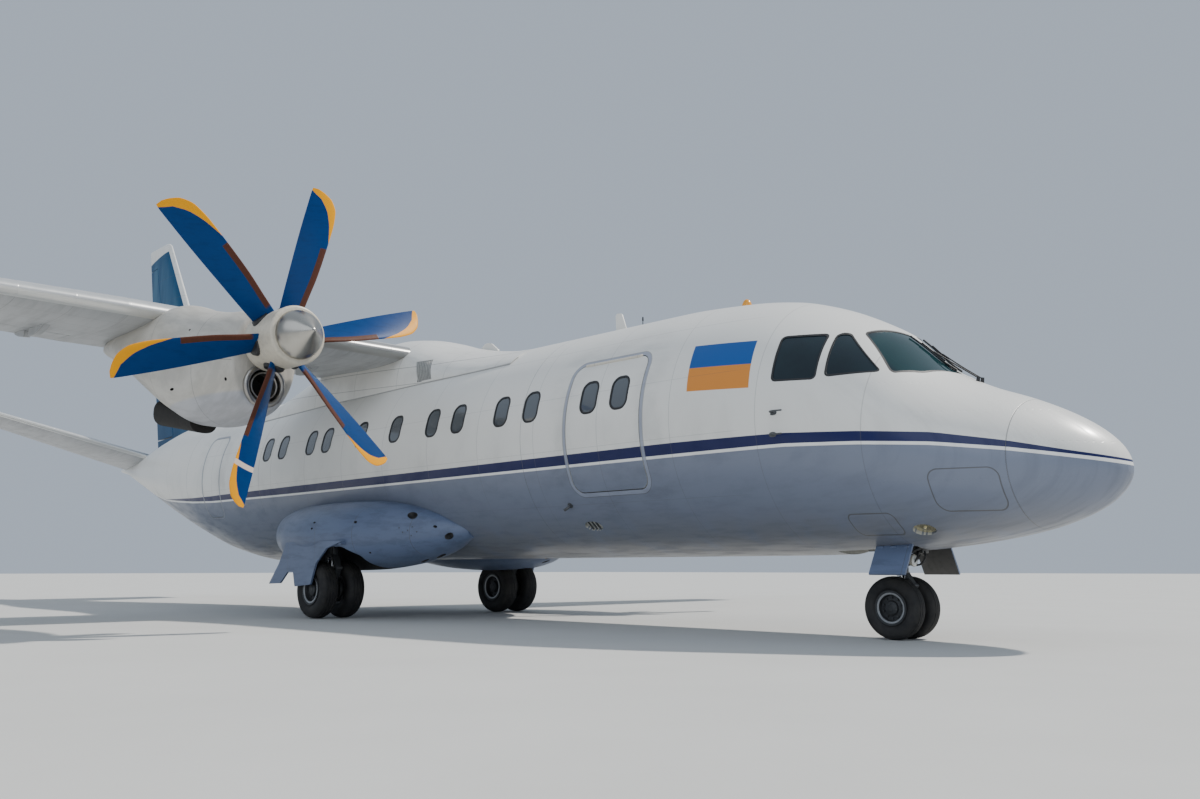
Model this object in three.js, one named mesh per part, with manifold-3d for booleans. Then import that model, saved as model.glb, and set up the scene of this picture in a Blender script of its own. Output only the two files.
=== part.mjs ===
// High-wing twin turboprop airliner, parked on its landing gear.
// Millimetres, +Z up, nose towards -Y, the aircraft's left side towards +X.
// The origin lies on the ground under the middle of the aircraft's bounding box.
import * as THREE from 'three';
import { mergeVertices } from 'three/addons/utils/BufferGeometryUtils.js';
import Module from 'manifold-3d';

const wasm = await Module();
wasm.setup();

// Driving dimensions
const LENGTH = 22605;
const SPAN = 24505;
const HEIGHT = 8232;
const SEAT_GAP = 0.3;
const RUNNING_GAP = 12;
const SIDES = 32;
const LEFT = 1;
const RIGHT = -1;

// Fuselage: station behind the nose tip, half width, top, bottom, height of the widest point
const FUSELAGE_RADIUS = 1430;
const FUSELAGE_CENTRE = 2254;
const FUSELAGE = [
  [0, 70, 1608, 1494, 1548],
  [30, 165, 1690, 1430, 1550],
  [100, 300, 1795, 1340, 1556],
  [250, 475, 1935, 1222, 1570],
  [480, 655, 2085, 1115, 1595],
  [780, 830, 2235, 1024, 1630],
  [1170, 990, 2395, 950, 1690],
  [1490, 1107, 2573, 906, 1757],
  [1960, 1227, 3003, 862, 1895],
  [2160, 1262, 3140, 850, 1950],
  [2690, 1340, 3405, 832, 2080],
  [3180, 1385, 3560, 826, 2170],
  [3700, 1412, 3635, 824, 2225],
  [4600, 1430, 3684, 824, 2254],
  [14300, 1430, 3684, 824, 2254],
  [15400, 1425, 3684, 960, 2300],
  [16400, 1385, 3672, 1230, 2400],
  [17400, 1270, 3620, 1530, 2510],
  [18600, 1050, 3470, 1900, 2630],
  [19800, 780, 3280, 2260, 2730],
  [20900, 500, 3150, 2560, 2840],
  [21800, 270, 3070, 2800, 2930],
  [22605, 70, 3035, 2945, 2990],
];
const RADOME_END = 735;
const FRONT_END = 6400;
const CENTRE_END = 13000;
const REAR_END = 15800;
const TAIL_END = 20600;
const RADOME_STATIONS = [30, 95, 200, 350, 540];
const FRONT_STATIONS = [950, 1200, 1490, 1960, 2200, 2600, 3150, 3800, 4600];
const REAR_STATIONS = [14300, 15000];
const TAIL_STATIONS = [16700, 17800, 19200];
const CONE_STATIONS = [21400, 22100];

// Cabin: floor height, wall thickness and the two open compartments behind the doors
const FLOOR = 1500;
const WALL = 90;
const CARGO_BAY = { from: 4150, to: 6300 };
const REAR_CABIN = { from: 13100, to: 18600 };

// Doors: stations, heights, corner radius and panel thickness
const CARGO_DOOR = { side: RIGHT, from: 4455, to: 5600, low: 1545, high: 3010, corner: 130 };
const AIRSTAIR = { side: LEFT, from: 13540, to: 14300, low: 1545, high: 3030, corner: 120 };
const SERVICE_DOOR = { side: RIGHT, from: 14450, to: 15090, low: 1580, high: 2970, corner: 120 };
const DOOR_THICKNESS = 70;
const DOOR_GAP = 10;
const DOOR_DEPTH = { outside: 100, inside: 400 };
const BARREL = { count: 5, radius: 20, gap: 6, sides: 10 };
const TREADS = { count: 5, depth: 200, width: 560, thickness: 30, root: 30 };

// Cockpit glazing: window corners as [station, height] seen from the side
const GLASS_INSET = 10;
const GLASS_THICKNESS = 30;
const SIDE_PANE_INNER = 450;
const SIDE_WINDOW = [[2368, 2472], [2403, 2967], [2832, 2976], [2807, 2493]];
const QUARTER_WINDOW = [[1822, 2508], [2245, 2972], [2339, 2965], [2284, 2490]];
// windscreen corners as [distance from the centre line, station] seen from above
const WINDSCREEN = [[45, 1440], [45, 1965], [631, 2146], [864, 1746], [586, 1565]];
const WINDSCREEN_ROOM = { low: 2200, high: 3600 };
// the panes' rear faces run together in a band behind the posts
const GLASS_BAND = { from: 1380, to: 2880, low: 2430, high: 3100, half: 1300 };

// Fairing over the fuselage: station, half width, springing height, top, roundness
const FAIRING_FOOT = 2700;
const FAIRING_STEPS = 7;
const WING_FAIRING = [
  [7150, 975, 3300, 3690, 1.5],
  [7700, 985, 3290, 3710, 1.6],
  [8300, 990, 3285, 3780, 1.8],
  [9000, 995, 3280, 3930, 2.1],
  [9800, 1010, 3260, 4150, 2.6],
  [10300, 1020, 3240, 4200, 2.8],
  [11300, 1030, 3220, 4190, 2.8],
  [12100, 1060, 3180, 4080, 2.4],
  [12900, 1090, 3150, 3890, 1.9],
  [13600, 1114, 3150, 3692, 1.55],
];

// Wing: leading edge station and height, chord, thickness and camber as parts of the chord
const WING = { edge: 9650, height: 3840, chord: 2450, thick: 0.145, camber: 0.02, drop: 60 };
const WING_JOINT = 4900;
const WING_TIP = { edge: 10120, height: 3900, chord: 1060, thick: 0.12, camber: 0.015, drop: 30 };
const TIP_ROUND = [[0, 1, 1], [0.55, 0.93, 0.85], [0.85, 0.8, 0.6], [1, 0.62, 0.3]];
const TIP_LENGTH = 240;
const FOIL_POINTS = [0.015, 0.07, 0.2, 0.38, 0.6, 0.8, 1];
const FLAP_HINGE = 0.74;
const FLAP_GAP = 20;
const INNER_FLAP = { from: 1320, to: 3600 };
const OUTER_FLAP = { from: 5000, to: 8250 };
const AILERON = { from: 8330, to: 11750 };
const AILERON_HINGE = 0.75;
const END_GAP = 8;
const HINGE_PIN = 12;

// Tailplane: one half, from the tail cone outwards and upwards
const TAIL_ROOT = { edge: 19500, chord: 2450, thick: 0.1, height: 2955 };
const TAIL_TIP = { edge: 20650, chord: 1350, thick: 0.09, height: 4065 };
const TAIL_SPAN = { root: 200, tip: 4350 };
const ELEVATOR = { from: 900, to: 4080, hinge: 0.68 };

// Fin: root inside the tail, tip at full height
const FIN_ROOT = { edge: 16970, chord: 3600, thick: 0.1, height: 2900 };
const FIN_TIP = { edge: 20700, chord: 1200, thick: 0.1, height: HEIGHT - 60 };
const RUDDER = { from: 3560, to: 7700, hinge: 0.68, gaps: [28, 16] };

// Nacelle: station, half width, top, bottom, roundness
const ENGINE_X = 4153;
const PROP = { station: 7243, height: 3147, radius: 1860, blades: 6, phase: -49.1 };
const NACELLE = [
  [7580, 375, 3515, 2420, 2.0],
  [7800, 440, 3570, 2345, 2.1],
  [8300, 490, 3640, 2300, 2.2],
  [8900, 505, 3770, 2360, 2.3],
  [9500, 505, 3930, 2560, 2.3],
  [10100, 490, 3950, 2830, 2.2],
  [10700, 450, 3930, 3120, 2.1],
  [11300, 370, 3890, 3380, 2.0],
  [11900, 230, 3810, 3590, 2.0],
  [12150, 90, 3765, 3690, 2.0],
];
const NACELLE_WALL = 45;
const NACELLE_CAVITY = { from: 7640, to: 10900 };
const INTAKE = { height: 2680, bore: 185, outer: 245, front: 7525, back: 7640, step: 15 };
const ENGINE = { from: 7900, to: 9750, radius: 300, height: 3080, gearbox: 150, face: 7540 };
const ENGINE_MOUNT = { from: 8300, to: 8600, half: 600, thick: 60 };
const EXHAUST = { from: 9050, to: 10150, low: 2290, high: 2620, half: 170, rise: 190 };
const EXHAUST_PIPE = { wall: 25, depth: 700 };

// Propeller: hub drum, spinner and blade sections
const HUB = { radius: 322, front: 6850, back: 7490, shaft: 60 };
const SPINNER = { radius: 268, tip: 6520, nose: 26 };
// blade: distance from the axis, chord, thickness, blade angle, trailing edge from the blade axis
const BLADE = [
  [250, 265, 70, 52, -100],
  [480, 290, 62, 48, -95],
  [800, 320, 44, 40, -85],
  [1150, 335, 32, 33, -75],
  [1420, 340, 24, 28, -65],
  [1620, 320, 18, 25, -55],
  [1760, 250, 13, 23, -48],
  [1830, 150, 9, 22, -42],
  [1860, 70, 6, 22, -36],
];

// section outline as parts of the chord from the trailing edge, and of the thickness
const BLADE_OUTLINE = [
  [1, 0], [0.82, 0.42], [0.45, 0.45], [0, 0.06], [0, -0.06], [0.45, -0.35], [0.82, -0.38],
];

// Sponson beside the belly: station, half width, half height, centre from the middle, height
const SPONSON = [
  [8000, 90, 90, 860, 1190],
  [8450, 380, 290, 1000, 1170],
  [9000, 590, 420, 1160, 1155],
  [9600, 710, 478, 1270, 1150],
  [10300, 745, 492, 1300, 1150],
  [11000, 705, 474, 1270, 1160],
  [11700, 560, 410, 1160, 1190],
  [12400, 340, 285, 1020, 1230],
  [12950, 90, 90, 880, 1275],
];
const WELL = { from: 9740, to: 10790, inner: 1170, outer: 2600, ceiling: 1190, bend: 800, slope: 240 };
// lower front part of the wheel well as [station, height]
const WELL_FRONT = [[9290, 0], [9900, 0], [9900, 985], [9520, 985], [9290, 860]];

// Landing gear
const TYRE_SEGMENTS = 24;
const FLAT = Math.cos(Math.PI / TYRE_SEGMENTS);
const MAIN = { station: 10260, x: 1625, spacing: 420, radius: 404, width: 262, rim: 200 };
const NOSE = { station: 2230, x: 0, spacing: 300, radius: 310, width: 180, rim: 158 };
const AXLE_CLEARANCE = 0.7;
const MAIN_STRUT = { outer: 88, inner: 58, split: 850, axle: 36, collar: 62 };
const MAIN_BRACE = { low: 960, high: 1250, ahead: 400, radius: 34 };
const MAIN_LINK = { top: 910, knee: 700, ahead: 190, foot: 60, radius: 24, pin: 30, half: 50 };
const NOSE_STRUT = { outer: 70, inner: 42, split: 700, axle: 26, collar: 48, bay: 1200 };
const NOSE_BRACE = { low: 860, high: 1240, behind: 420, radius: 32 };
const NOSE_HEAD = { half: 220, thick: 40, low: 1080 };
const NOSE_LINK = { top: 670, knee: 520, ahead: 150, foot: 40, radius: 18 };
const TOW_PIN = { ahead: 110, half: 46, radius: 20, lug: 18 };
const NOSE_BAY = { from: 1880, to: 2760, half: 300 };
// nose gear doors, which stand out at the bottom, with edges as [x, height]
const NOSE_DOOR = { from: 1878, to: 2262, top: [345, 955], low: [545, 630], thickness: 22 };
const MAIN_DOOR = { x: 2004, thickness: 28 };
// arms of the main gear door as [station, height]
const MAIN_DOOR_ARMS = [[9420, 1010], [10820, 980]];
const DOOR_ARM = { inner: 1880, width: 60, height: 40 };
// main gear door outline as [station, height]
const MAIN_DOOR_OUTLINE = [
  [9330, 1060], [9760, 960], [10020, 760], [10150, 470], [10580, 440],
  [10640, 640], [10800, 640], [11000, 480], [11330, 470], [11060, 760], [10860, 1060],
];

// Colours with roughness and metalness
const PAINTS = {
  white: [0xe9e6dc, 0.35, 0.0],
  cream: [0xd8d2c0, 0.45, 0.0],
  grey: [0x9aa3b5, 0.45, 0.0],
  blue: [0x17497e, 0.4, 0.0],
  teal: [0x1c7ba3, 0.4, 0.0],
  metal: [0xb9bcbd, 0.25, 0.9],
  steel: [0x5d6063, 0.45, 0.8],
  soot: [0x1a1917, 0.7, 0.2],
  rubber: [0x171717, 0.85, 0.0],
  glass: [0x20303a, 0.06, 0.0],
};

const at = (station) => station - LENGTH / 2;
const vector = (x, y, z) => new THREE.Vector3(x, y, z);

// Solids

function solid(geometry) {
  const bare = geometry.clone();
  bare.deleteAttribute('normal');
  bare.deleteAttribute('uv');
  const merged = mergeVertices(bare, 0.001);
  const vertProperties = new Float32Array(merged.attributes.position.array);
  const triVerts = new Uint32Array(merged.index.array);
  return new wasm.Manifold(new wasm.Mesh({ numProp: 3, vertProperties, triVerts }));
}

function geometryOf(body) {
  const mesh = body.getMesh();
  const geometry = new THREE.BufferGeometry();
  geometry.setAttribute('position', new THREE.BufferAttribute(mesh.vertProperties, 3));
  geometry.setIndex(new THREE.BufferAttribute(mesh.triVerts, 1));
  geometry.computeVertexNormals();
  return geometry;
}

function cut(body, ...tools) {
  return tools.reduce((left, tool) => left.subtract(tool), body);
}

function join(...bodies) {
  return bodies.reduce((left, body) => left.add(body));
}

// Flat end of a ring whose points i and count - i face each other
function endTriangles(count) {
  const triangles = [[0, 1, count - 1]];
  for (let i = 1; i < count - i - 1; i += 1) {
    const far = count - i;
    triangles.push([i, i + 1, far]);
    if (i + 1 < far - 1) triangles.push([i + 1, far - 1, far]);
  }
  return triangles;
}

// A closed body through rings of equal point counts
function loft(rings) {
  const count = rings[0].length;
  const points = rings.flat();
  const faces = [];
  for (let r = 0; r < rings.length - 1; r += 1) {
    for (let i = 0; i < count; i += 1) {
      const a = r * count + i;
      const b = r * count + ((i + 1) % count);
      faces.push([a, b, b + count], [a, b + count, a + count]);
    }
  }
  const last = (rings.length - 1) * count;
  for (const [a, b, c] of endTriangles(count)) {
    faces.push([a, c, b]);
    faces.push([last + a, last + b, last + c]);
  }
  const volume = faces.reduce((sum, [a, b, c]) => {
    const across = vector(0, 0, 0).crossVectors(points[b], points[c]);
    return sum + points[a].dot(across);
  }, 0);
  const order = volume < 0 ? faces.map(([a, b, c]) => [a, c, b]) : faces;
  const geometry = new THREE.BufferGeometry();
  const places = points.flatMap((point) => point.toArray());
  geometry.setAttribute('position', new THREE.Float32BufferAttribute(places, 3));
  geometry.setIndex(order.flat());
  return solid(geometry);
}

function box(low, high) {
  const size = high.map((value, i) => value - low[i]);
  const middle = high.map((value, i) => (value + low[i]) / 2);
  return solid(new THREE.BoxGeometry(...size)).translate(middle);
}

// A round rod, or a cone, between two points
function rod(from, to, fromRadius, toRadius = fromRadius, sides = 24) {
  const along = to.clone().sub(from);
  const geometry = new THREE.CylinderGeometry(toRadius, fromRadius, along.length(), sides);
  const turn = new THREE.Quaternion().setFromUnitVectors(vector(0, 1, 0), along.clone().normalize());
  geometry.applyQuaternion(turn);
  const middle = from.clone().add(to).multiplyScalar(0.5);
  geometry.translate(middle.x, middle.y, middle.z);
  return solid(geometry);
}

// An outline of [station, height] points pushed along X between two distances
function sidePrism(shape, x0, x1) {
  const depth = Math.abs(x1 - x0);
  const geometry = new THREE.ExtrudeGeometry(shape, { depth, bevelEnabled: false, curveSegments: 5 });
  const basis = new THREE.Matrix4().makeBasis(vector(0, 1, 0), vector(0, 0, 1), vector(1, 0, 0));
  geometry.applyMatrix4(basis);
  geometry.translate(Math.min(x0, x1), at(0), 0);
  return solid(geometry);
}

function polygon(points) {
  return new THREE.Shape(points.map(([u, v]) => new THREE.Vector2(u, v)));
}

// A polygon with its corners pulled apart from its middle by a distance
function widened(points, distance) {
  const mean = (column) => points.reduce((sum, point) => sum + point[column], 0) / points.length;
  const middle = [mean(0), mean(1)];
  return points.map(([u, v]) => {
    const length = Math.hypot(u - middle[0], v - middle[1]);
    const grow = 1 + distance / length;
    return [middle[0] + (u - middle[0]) * grow, middle[1] + (v - middle[1]) * grow];
  });
}

function roundedDoor(door, grow) {
  const [u0, u1] = [door.from - grow, door.to + grow];
  const [v0, v1] = [door.low - grow, door.high + grow];
  const r = door.corner + grow;
  const shape = new THREE.Shape();
  shape.moveTo(u0 + r, v0);
  shape.lineTo(u1 - r, v0);
  shape.absarc(u1 - r, v0 + r, r, -Math.PI / 2, 0);
  shape.absarc(u1 - r, v1 - r, r, 0, Math.PI / 2);
  shape.absarc(u0 + r, v1 - r, r, Math.PI / 2, Math.PI);
  shape.absarc(u0 + r, v0 + r, r, Math.PI, Math.PI * 1.5);
  return shape;
}

// Value of every column at a station, along smooth monotone curves
function along(table, station) {
  const last = table.length - 1;
  let k = 0;
  while (k < last - 1 && station > table[k + 1][0]) k += 1;
  const slope = (i, column) => {
    const rise = (j) => (table[j + 1][column] - table[j][column]) / (table[j + 1][0] - table[j][0]);
    if (i === 0) return rise(0);
    if (i === last) return rise(last - 1);
    const before = rise(i - 1);
    const after = rise(i);
    return before * after > 0 ? (2 * before * after) / (before + after) : 0;
  };
  const width = table[k + 1][0] - table[k][0];
  const t = (station - table[k][0]) / width;
  return table[k].map((value, column) => {
    if (column === 0) return station;
    const end = table[k + 1][column];
    const bend0 = slope(k, column) * width;
    const bend1 = slope(k + 1, column) * width;
    return value * (2 * t ** 3 - 3 * t ** 2 + 1) + bend0 * (t ** 3 - 2 * t ** 2 + t)
      + end * (3 * t ** 2 - 2 * t ** 3) + bend1 * (t ** 3 - t ** 2);
  });
}

// Point of a rounded cross-section: 2 is an ellipse, more is squarer
function superPoint(angle, halfWidth, halfHeight, roundness) {
  const sine = Math.sin(angle);
  const cosine = Math.cos(angle);
  const power = 2 / roundness;
  return [
    halfWidth * Math.sign(sine) * Math.abs(sine) ** power,
    halfHeight * Math.sign(cosine) * Math.abs(cosine) ** power,
  ];
}

function circuit(count, point) {
  return Array.from({ length: count }, (unused, i) => point((i / count) * Math.PI * 2));
}

// Fuselage

function fuselageRing(station, grow) {
  const [, halfWidth, top, bottom, waist] = along(FUSELAGE, station);
  return circuit(SIDES, (angle) => {
    const halfHeight = Math.cos(angle) > 0 ? top - waist + grow : waist - bottom + grow;
    const [x, z] = superPoint(angle, halfWidth + grow, halfHeight, 2);
    return vector(x, at(station), waist + z);
  });
}

function fuselageBody(from, to, between, grow = 0) {
  return loft([from, ...between, to].map((station) => fuselageRing(station, grow)));
}

const nose = (grow) => fuselageBody(RADOME_END + SEAT_GAP, FRONT_END, FRONT_STATIONS, grow);
const middle = (grow) => fuselageBody(FRONT_END + SEAT_GAP, CENTRE_END, [], grow);
const rear = (grow) => fuselageBody(CENTRE_END + SEAT_GAP, REAR_END, REAR_STATIONS, grow);
const taper = (grow) => fuselageBody(REAR_END + SEAT_GAP, TAIL_END, TAIL_STATIONS, grow);
const cone = (grow) => fuselageBody(TAIL_END + SEAT_GAP, LENGTH, CONE_STATIONS, grow);
const CABIN_STATIONS = [...REAR_STATIONS, REAR_END, ...TAIL_STATIONS];
const rearHull = (grow) => fuselageBody(FRONT_END, TAIL_END, CABIN_STATIONS, grow);
const JOINED_STATIONS = [...CABIN_STATIONS, TAIL_END, ...CONE_STATIONS];
const seatedHull = fuselageBody(FRONT_END, LENGTH, JOINED_STATIONS, SEAT_GAP);

function compartment(bay, body) {
  const room = box([-FUSELAGE_RADIUS, at(bay.from), FLOOR], [FUSELAGE_RADIUS, at(bay.to), HEIGHT]);
  return body(-WALL).intersect(room);
}

// Doors: a panel cut from the skin, with hinge barrels along its upper or lower edge

function doorPrism(door, grow) {
  const outside = door.side * (FUSELAGE_RADIUS + DOOR_DEPTH.outside);
  const inside = door.side * (FUSELAGE_RADIUS - DOOR_DEPTH.inside);
  return sidePrism(roundedDoor(door, grow), inside, outside);
}

function skinX(height) {
  return Math.sqrt(FUSELAGE_RADIUS ** 2 - (height - FUSELAGE_CENTRE) ** 2);
}

function hingeLine(door, height) {
  return { x: door.side * skinX(height), z: height };
}

// Every second barrel belongs to the door, the others to the fuselage
function barrels(door, hinge, first, grow) {
  const length = (door.to - door.from - 2 * door.corner) / BARREL.count;
  const radius = BARREL.radius + grow;
  const list = [];
  for (let i = first; i < BARREL.count; i += 2) {
    const start = door.from + door.corner + i * length;
    const from = vector(hinge.x, at(start + SEAT_GAP / 2), hinge.z);
    const to = vector(hinge.x, at(start + length - SEAT_GAP / 2), hinge.z);
    list.push(rod(from, to, radius, radius, BARREL.sides));
  }
  return join(...list);
}

function doorPanel(door, body) {
  return cut(doorPrism(door, 0).intersect(body(0)), body(-DOOR_THICKNESS));
}

function hingedDoor(door, hinge, body) {
  const panel = cut(doorPanel(door, body), barrels(door, hinge, 0, BARREL.gap));
  return panel.add(barrels(door, hinge, 1, 0));
}

function doorway(frame, door, hinge) {
  const hole = cut(frame, doorPrism(door, DOOR_GAP), barrels(door, hinge, 1, BARREL.gap));
  return hole.add(barrels(door, hinge, 0, 0));
}

const cargoHinge = hingeLine(CARGO_DOOR, CARGO_DOOR.high + DOOR_GAP / 2);
const stairHinge = hingeLine(AIRSTAIR, AIRSTAIR.low - DOOR_GAP / 2);

function stairTreads() {
  const rise = (AIRSTAIR.high - AIRSTAIR.low) / (TREADS.count + 1);
  const centre = (AIRSTAIR.from + AIRSTAIR.to) / 2;
  const list = [];
  for (let i = 1; i <= TREADS.count; i += 1) {
    const z = AIRSTAIR.low + i * rise;
    const wall = skinX(z) - DOOR_THICKNESS;
    list.push(box(
      [wall - TREADS.depth, at(centre - TREADS.width / 2), z],
      [wall + TREADS.root, at(centre + TREADS.width / 2), z + TREADS.thickness],
    ));
  }
  return join(...list);
}

// Cockpit glazing: panes joined by a band behind the window posts

function windowPrisms(grow) {
  const prisms = [];
  for (const side of [LEFT, RIGHT]) {
    for (const corners of [SIDE_WINDOW, QUARTER_WINDOW]) {
      const shape = polygon(widened(corners, grow));
      prisms.push(sidePrism(shape, side * SIDE_PANE_INNER, side * FUSELAGE_RADIUS));
    }
    const outline = widened(WINDSCREEN, grow).map(([x, station]) => [side * x, station]);
    const depth = WINDSCREEN_ROOM.high - WINDSCREEN_ROOM.low;
    const pane = new THREE.ExtrudeGeometry(polygon(outline), { depth, bevelEnabled: false });
    pane.translate(0, at(0), WINDSCREEN_ROOM.low);
    prisms.push(solid(pane));
  }
  return prisms;
}

// The pocket is as deep as the glazing and open to the outside
function glazing(outer, grow) {
  const inner = nose(-GLASS_INSET - GLASS_THICKNESS - grow);
  const panes = join(...windowPrisms(grow)).intersect(outer);
  const bandOuter = nose(-GLASS_INSET - GLASS_THICKNESS / 2 + grow);
  const { from, to, low, high, half } = GLASS_BAND;
  const room = box([-half, at(from - grow), low - grow], [half, at(to + grow), high + grow]);
  const band = room.intersect(bandOuter);
  return cut(join(panes, band), inner);
}

// Wing fairing

function fairingRing([station, halfWidth, springing, top, roundness]) {
  const arc = [];
  for (let i = 1; i <= FAIRING_STEPS; i += 1) {
    const angle = (i / FAIRING_STEPS) * (Math.PI / 2);
    arc.push(superPoint(angle, halfWidth, top - springing, roundness));
  }
  const right = arc.map(([x, z]) => vector(x, at(station), springing + z));
  const low = vector(halfWidth, at(station), FAIRING_FOOT);
  const half = [...right, low];
  const mirrored = half.map((point) => vector(-point.x, point.y, point.z)).reverse();
  return [vector(0, at(station), top), ...half, ...mirrored];
}

// Wings and tail surfaces

// Upper and lower distance from the chord line, as parts of the chord
function foil(fraction, thick, camber) {
  const root = Math.sqrt(fraction);
  const half = 5 * thick * (0.2969 * root - 0.126 * fraction - 0.3516 * fraction ** 2
    + 0.2843 * fraction ** 3 - 0.1015 * fraction ** 4);
  const peak = 0.4;
  const line = fraction < peak
    ? (camber / peak ** 2) * (2 * peak * fraction - fraction ** 2)
    : (camber / (1 - peak) ** 2) * (1 - 2 * peak + 2 * peak * fraction - fraction ** 2);
  return { half, line };
}

// Ring of a wing section; place turns (chord distance, thickness distance) into a point
function foilRing(section, place, grow = 0) {
  const { chord, thick, camber = 0, squash = 1 } = section;
  const shift = (fraction) => (section.drop || 0) * fraction;
  const point = (fraction, side) => {
    const { half, line } = foil(fraction, thick, camber);
    const offset = chord * (line + side * half * squash) - shift(fraction) + side * grow;
    return place(chord * fraction + (fraction === 1 ? grow : 0), offset);
  };
  const upper = FOIL_POINTS.map((fraction) => point(fraction, 1));
  const lower = FOIL_POINTS.map((fraction) => point(fraction, -1)).reverse();
  return [place(-grow, 0), ...upper, ...lower];
}

function blend(from, to, part) {
  const mixed = {};
  for (const key of Object.keys(from)) mixed[key] = from[key] + (to[key] - from[key]) * part;
  return mixed;
}

function wingSection(x) {
  const distance = Math.abs(x);
  if (distance <= WING_JOINT) return WING;
  const part = (distance - WING_JOINT) / (SPAN / 2 - WING_JOINT);
  return blend(WING, WING_TIP, part);
}

function wingRing(x, grow = 0, shrink = 1, squash = 1) {
  const section = wingSection(x);
  const trimmed = { ...section, chord: section.chord * shrink, squash };
  const edge = section.edge + section.chord * (1 - shrink) * 0.75;
  const place = (distance, offset) => vector(x, at(edge + distance), section.height + offset);
  return foilRing(trimmed, place, grow);
}

const wingEnds = (grow) => [-WING_JOINT - grow, WING_JOINT + grow];
const centreWing = (grow) => loft(wingEnds(grow).map((x) => wingRing(x, grow)));

function outerWing(side) {
  const start = WING_JOINT + SEAT_GAP;
  const rings = [wingRing(side * start)];
  for (const [part, shrink, squash] of TIP_ROUND) {
    const x = SPAN / 2 - TIP_LENGTH * (1 - part);
    rings.push(wingRing(side * x, 0, shrink, squash));
  }
  return loft(rings);
}

// Hinge point and nose radius of a wing control surface at a distance along the span
function wingHinge(x, fraction) {
  const section = wingSection(x);
  const { half, line } = foil(fraction, section.thick, section.camber);
  const z = section.height + section.chord * line - section.drop * fraction;
  return {
    point: vector(x, at(section.edge + section.chord * fraction), z),
    radius: section.chord * half - 1,
  };
}

// Everything behind the hinge line between two hinge points
function behind(start, end, startGap, endGap, across, reach) {
  const axis = end.point.clone().sub(start.point).normalize();
  const back = vector(0, 1, 0);
  const ring = (hinge, shift) => {
    const base = hinge.point.clone().addScaledVector(axis, shift);
    const corner = (depth, rise) => base.clone().addScaledVector(back, depth)
      .addScaledVector(across, rise);
    return [corner(0, reach), corner(reach * 4, reach), corner(reach * 4, -reach), corner(0, -reach)];
  };
  return loft([ring(start, -startGap), ring(end, endGap)]);
}

// Splits a surface into the fixed part and a moving part with a round nose and end pins
function controlSurface(body, start, end, across, gap, reach = 900, ends = [END_GAP, END_GAP]) {
  const axis = end.point.clone().sub(start.point).normalize();
  const sides = 24;
  const shifted = (hinge, distance) => hinge.point.clone().addScaledVector(axis, distance);
  const noseRod = rod(start.point, end.point, start.radius, end.radius, sides);
  const slot = rod(
    shifted(start, -END_GAP), shifted(end, END_GAP), start.radius + gap, end.radius + gap, sides,
  );
  const pinGap = END_GAP - 0.5;
  const pin = rod(shifted(start, -pinGap), shifted(end, pinGap), HINGE_PIN, HINGE_PIN, 12);
  const moving = join(body.intersect(behind(start, end, 0, 0, across, reach)), noseRod, pin);
  const fixed = cut(body, behind(start, end, ...ends, across, reach), slot);
  return { fixed, moving };
}

function tailHinge(x, side) {
  const part = (x - TAIL_SPAN.root) / (TAIL_SPAN.tip - TAIL_SPAN.root);
  const section = blend(TAIL_ROOT, TAIL_TIP, part);
  const { half } = foil(ELEVATOR.hinge, section.thick, 0);
  return {
    point: vector(side * x, at(section.edge + section.chord * ELEVATOR.hinge), section.height),
    radius: section.chord * half - 1,
  };
}

function tailplane(side) {
  const rings = [];
  for (const [x, part, shrink, squash] of [
    [TAIL_SPAN.root, 0, 1, 1],
    [TAIL_SPAN.tip - 120, 0.97, 1, 1],
    [TAIL_SPAN.tip - 30, 0.99, 0.92, 0.7],
    [TAIL_SPAN.tip, 1, 0.8, 0.35],
  ]) {
    const section = blend(TAIL_ROOT, TAIL_TIP, part);
    const edge = section.edge + section.chord * (1 - shrink) * 0.7;
    const place = (distance, offset) => vector(side * x, at(edge + distance), section.height + offset);
    rings.push(foilRing({ ...section, chord: section.chord * shrink, squash }, place));
  }
  const rise = vector(-side * (TAIL_TIP.height - TAIL_ROOT.height), 0, TAIL_SPAN.tip - TAIL_SPAN.root);
  const across = rise.normalize();
  const ends = [tailHinge(ELEVATOR.from, side), tailHinge(ELEVATOR.to, side)];
  return controlSurface(loft(rings), ends[0], ends[1], across, RUNNING_GAP, 500);
}

function finSection(height) {
  const part = (height - FIN_ROOT.height) / (FIN_TIP.height - FIN_ROOT.height);
  return blend(FIN_ROOT, FIN_TIP, part);
}

function finRing(height, shrink = 1, squash = 1) {
  const section = finSection(height);
  const edge = section.edge + section.chord * (1 - shrink) * 0.7;
  const place = (distance, offset) => vector(offset, at(edge + distance), height);
  return foilRing({ ...section, chord: section.chord * shrink, squash }, place);
}

function finHinge(height) {
  const section = finSection(height);
  const { half } = foil(RUDDER.hinge, section.thick, 0);
  return {
    point: vector(0, at(section.edge + section.chord * RUDDER.hinge), height),
    radius: section.chord * half - 1,
  };
}

function finAndRudder() {
  const rings = [
    finRing(FIN_ROOT.height),
    finRing(HEIGHT - 90),
    finRing(HEIGHT - 25, 0.93, 0.7),
    finRing(HEIGHT, 0.8, 0.35),
  ];
  const ends = [finHinge(RUDDER.from), finHinge(RUDDER.to)];
  const sideways = vector(1, 0, 0);
  return controlSurface(loft(rings), ends[0], ends[1], sideways, RUNNING_GAP, 1100, RUDDER.gaps);
}

// Nacelle, engine and exhaust

function nacelleRing(station, x, grow) {
  const [, halfWidth, top, bottom, roundness] = along(NACELLE, station);
  const waist = (top + bottom) / 2;
  return circuit(20, (angle) => {
    const [dx, dz] = superPoint(angle, halfWidth + grow, waist - bottom + grow, roundness);
    return vector(x + dx, at(station), waist + dz);
  });
}

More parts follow.
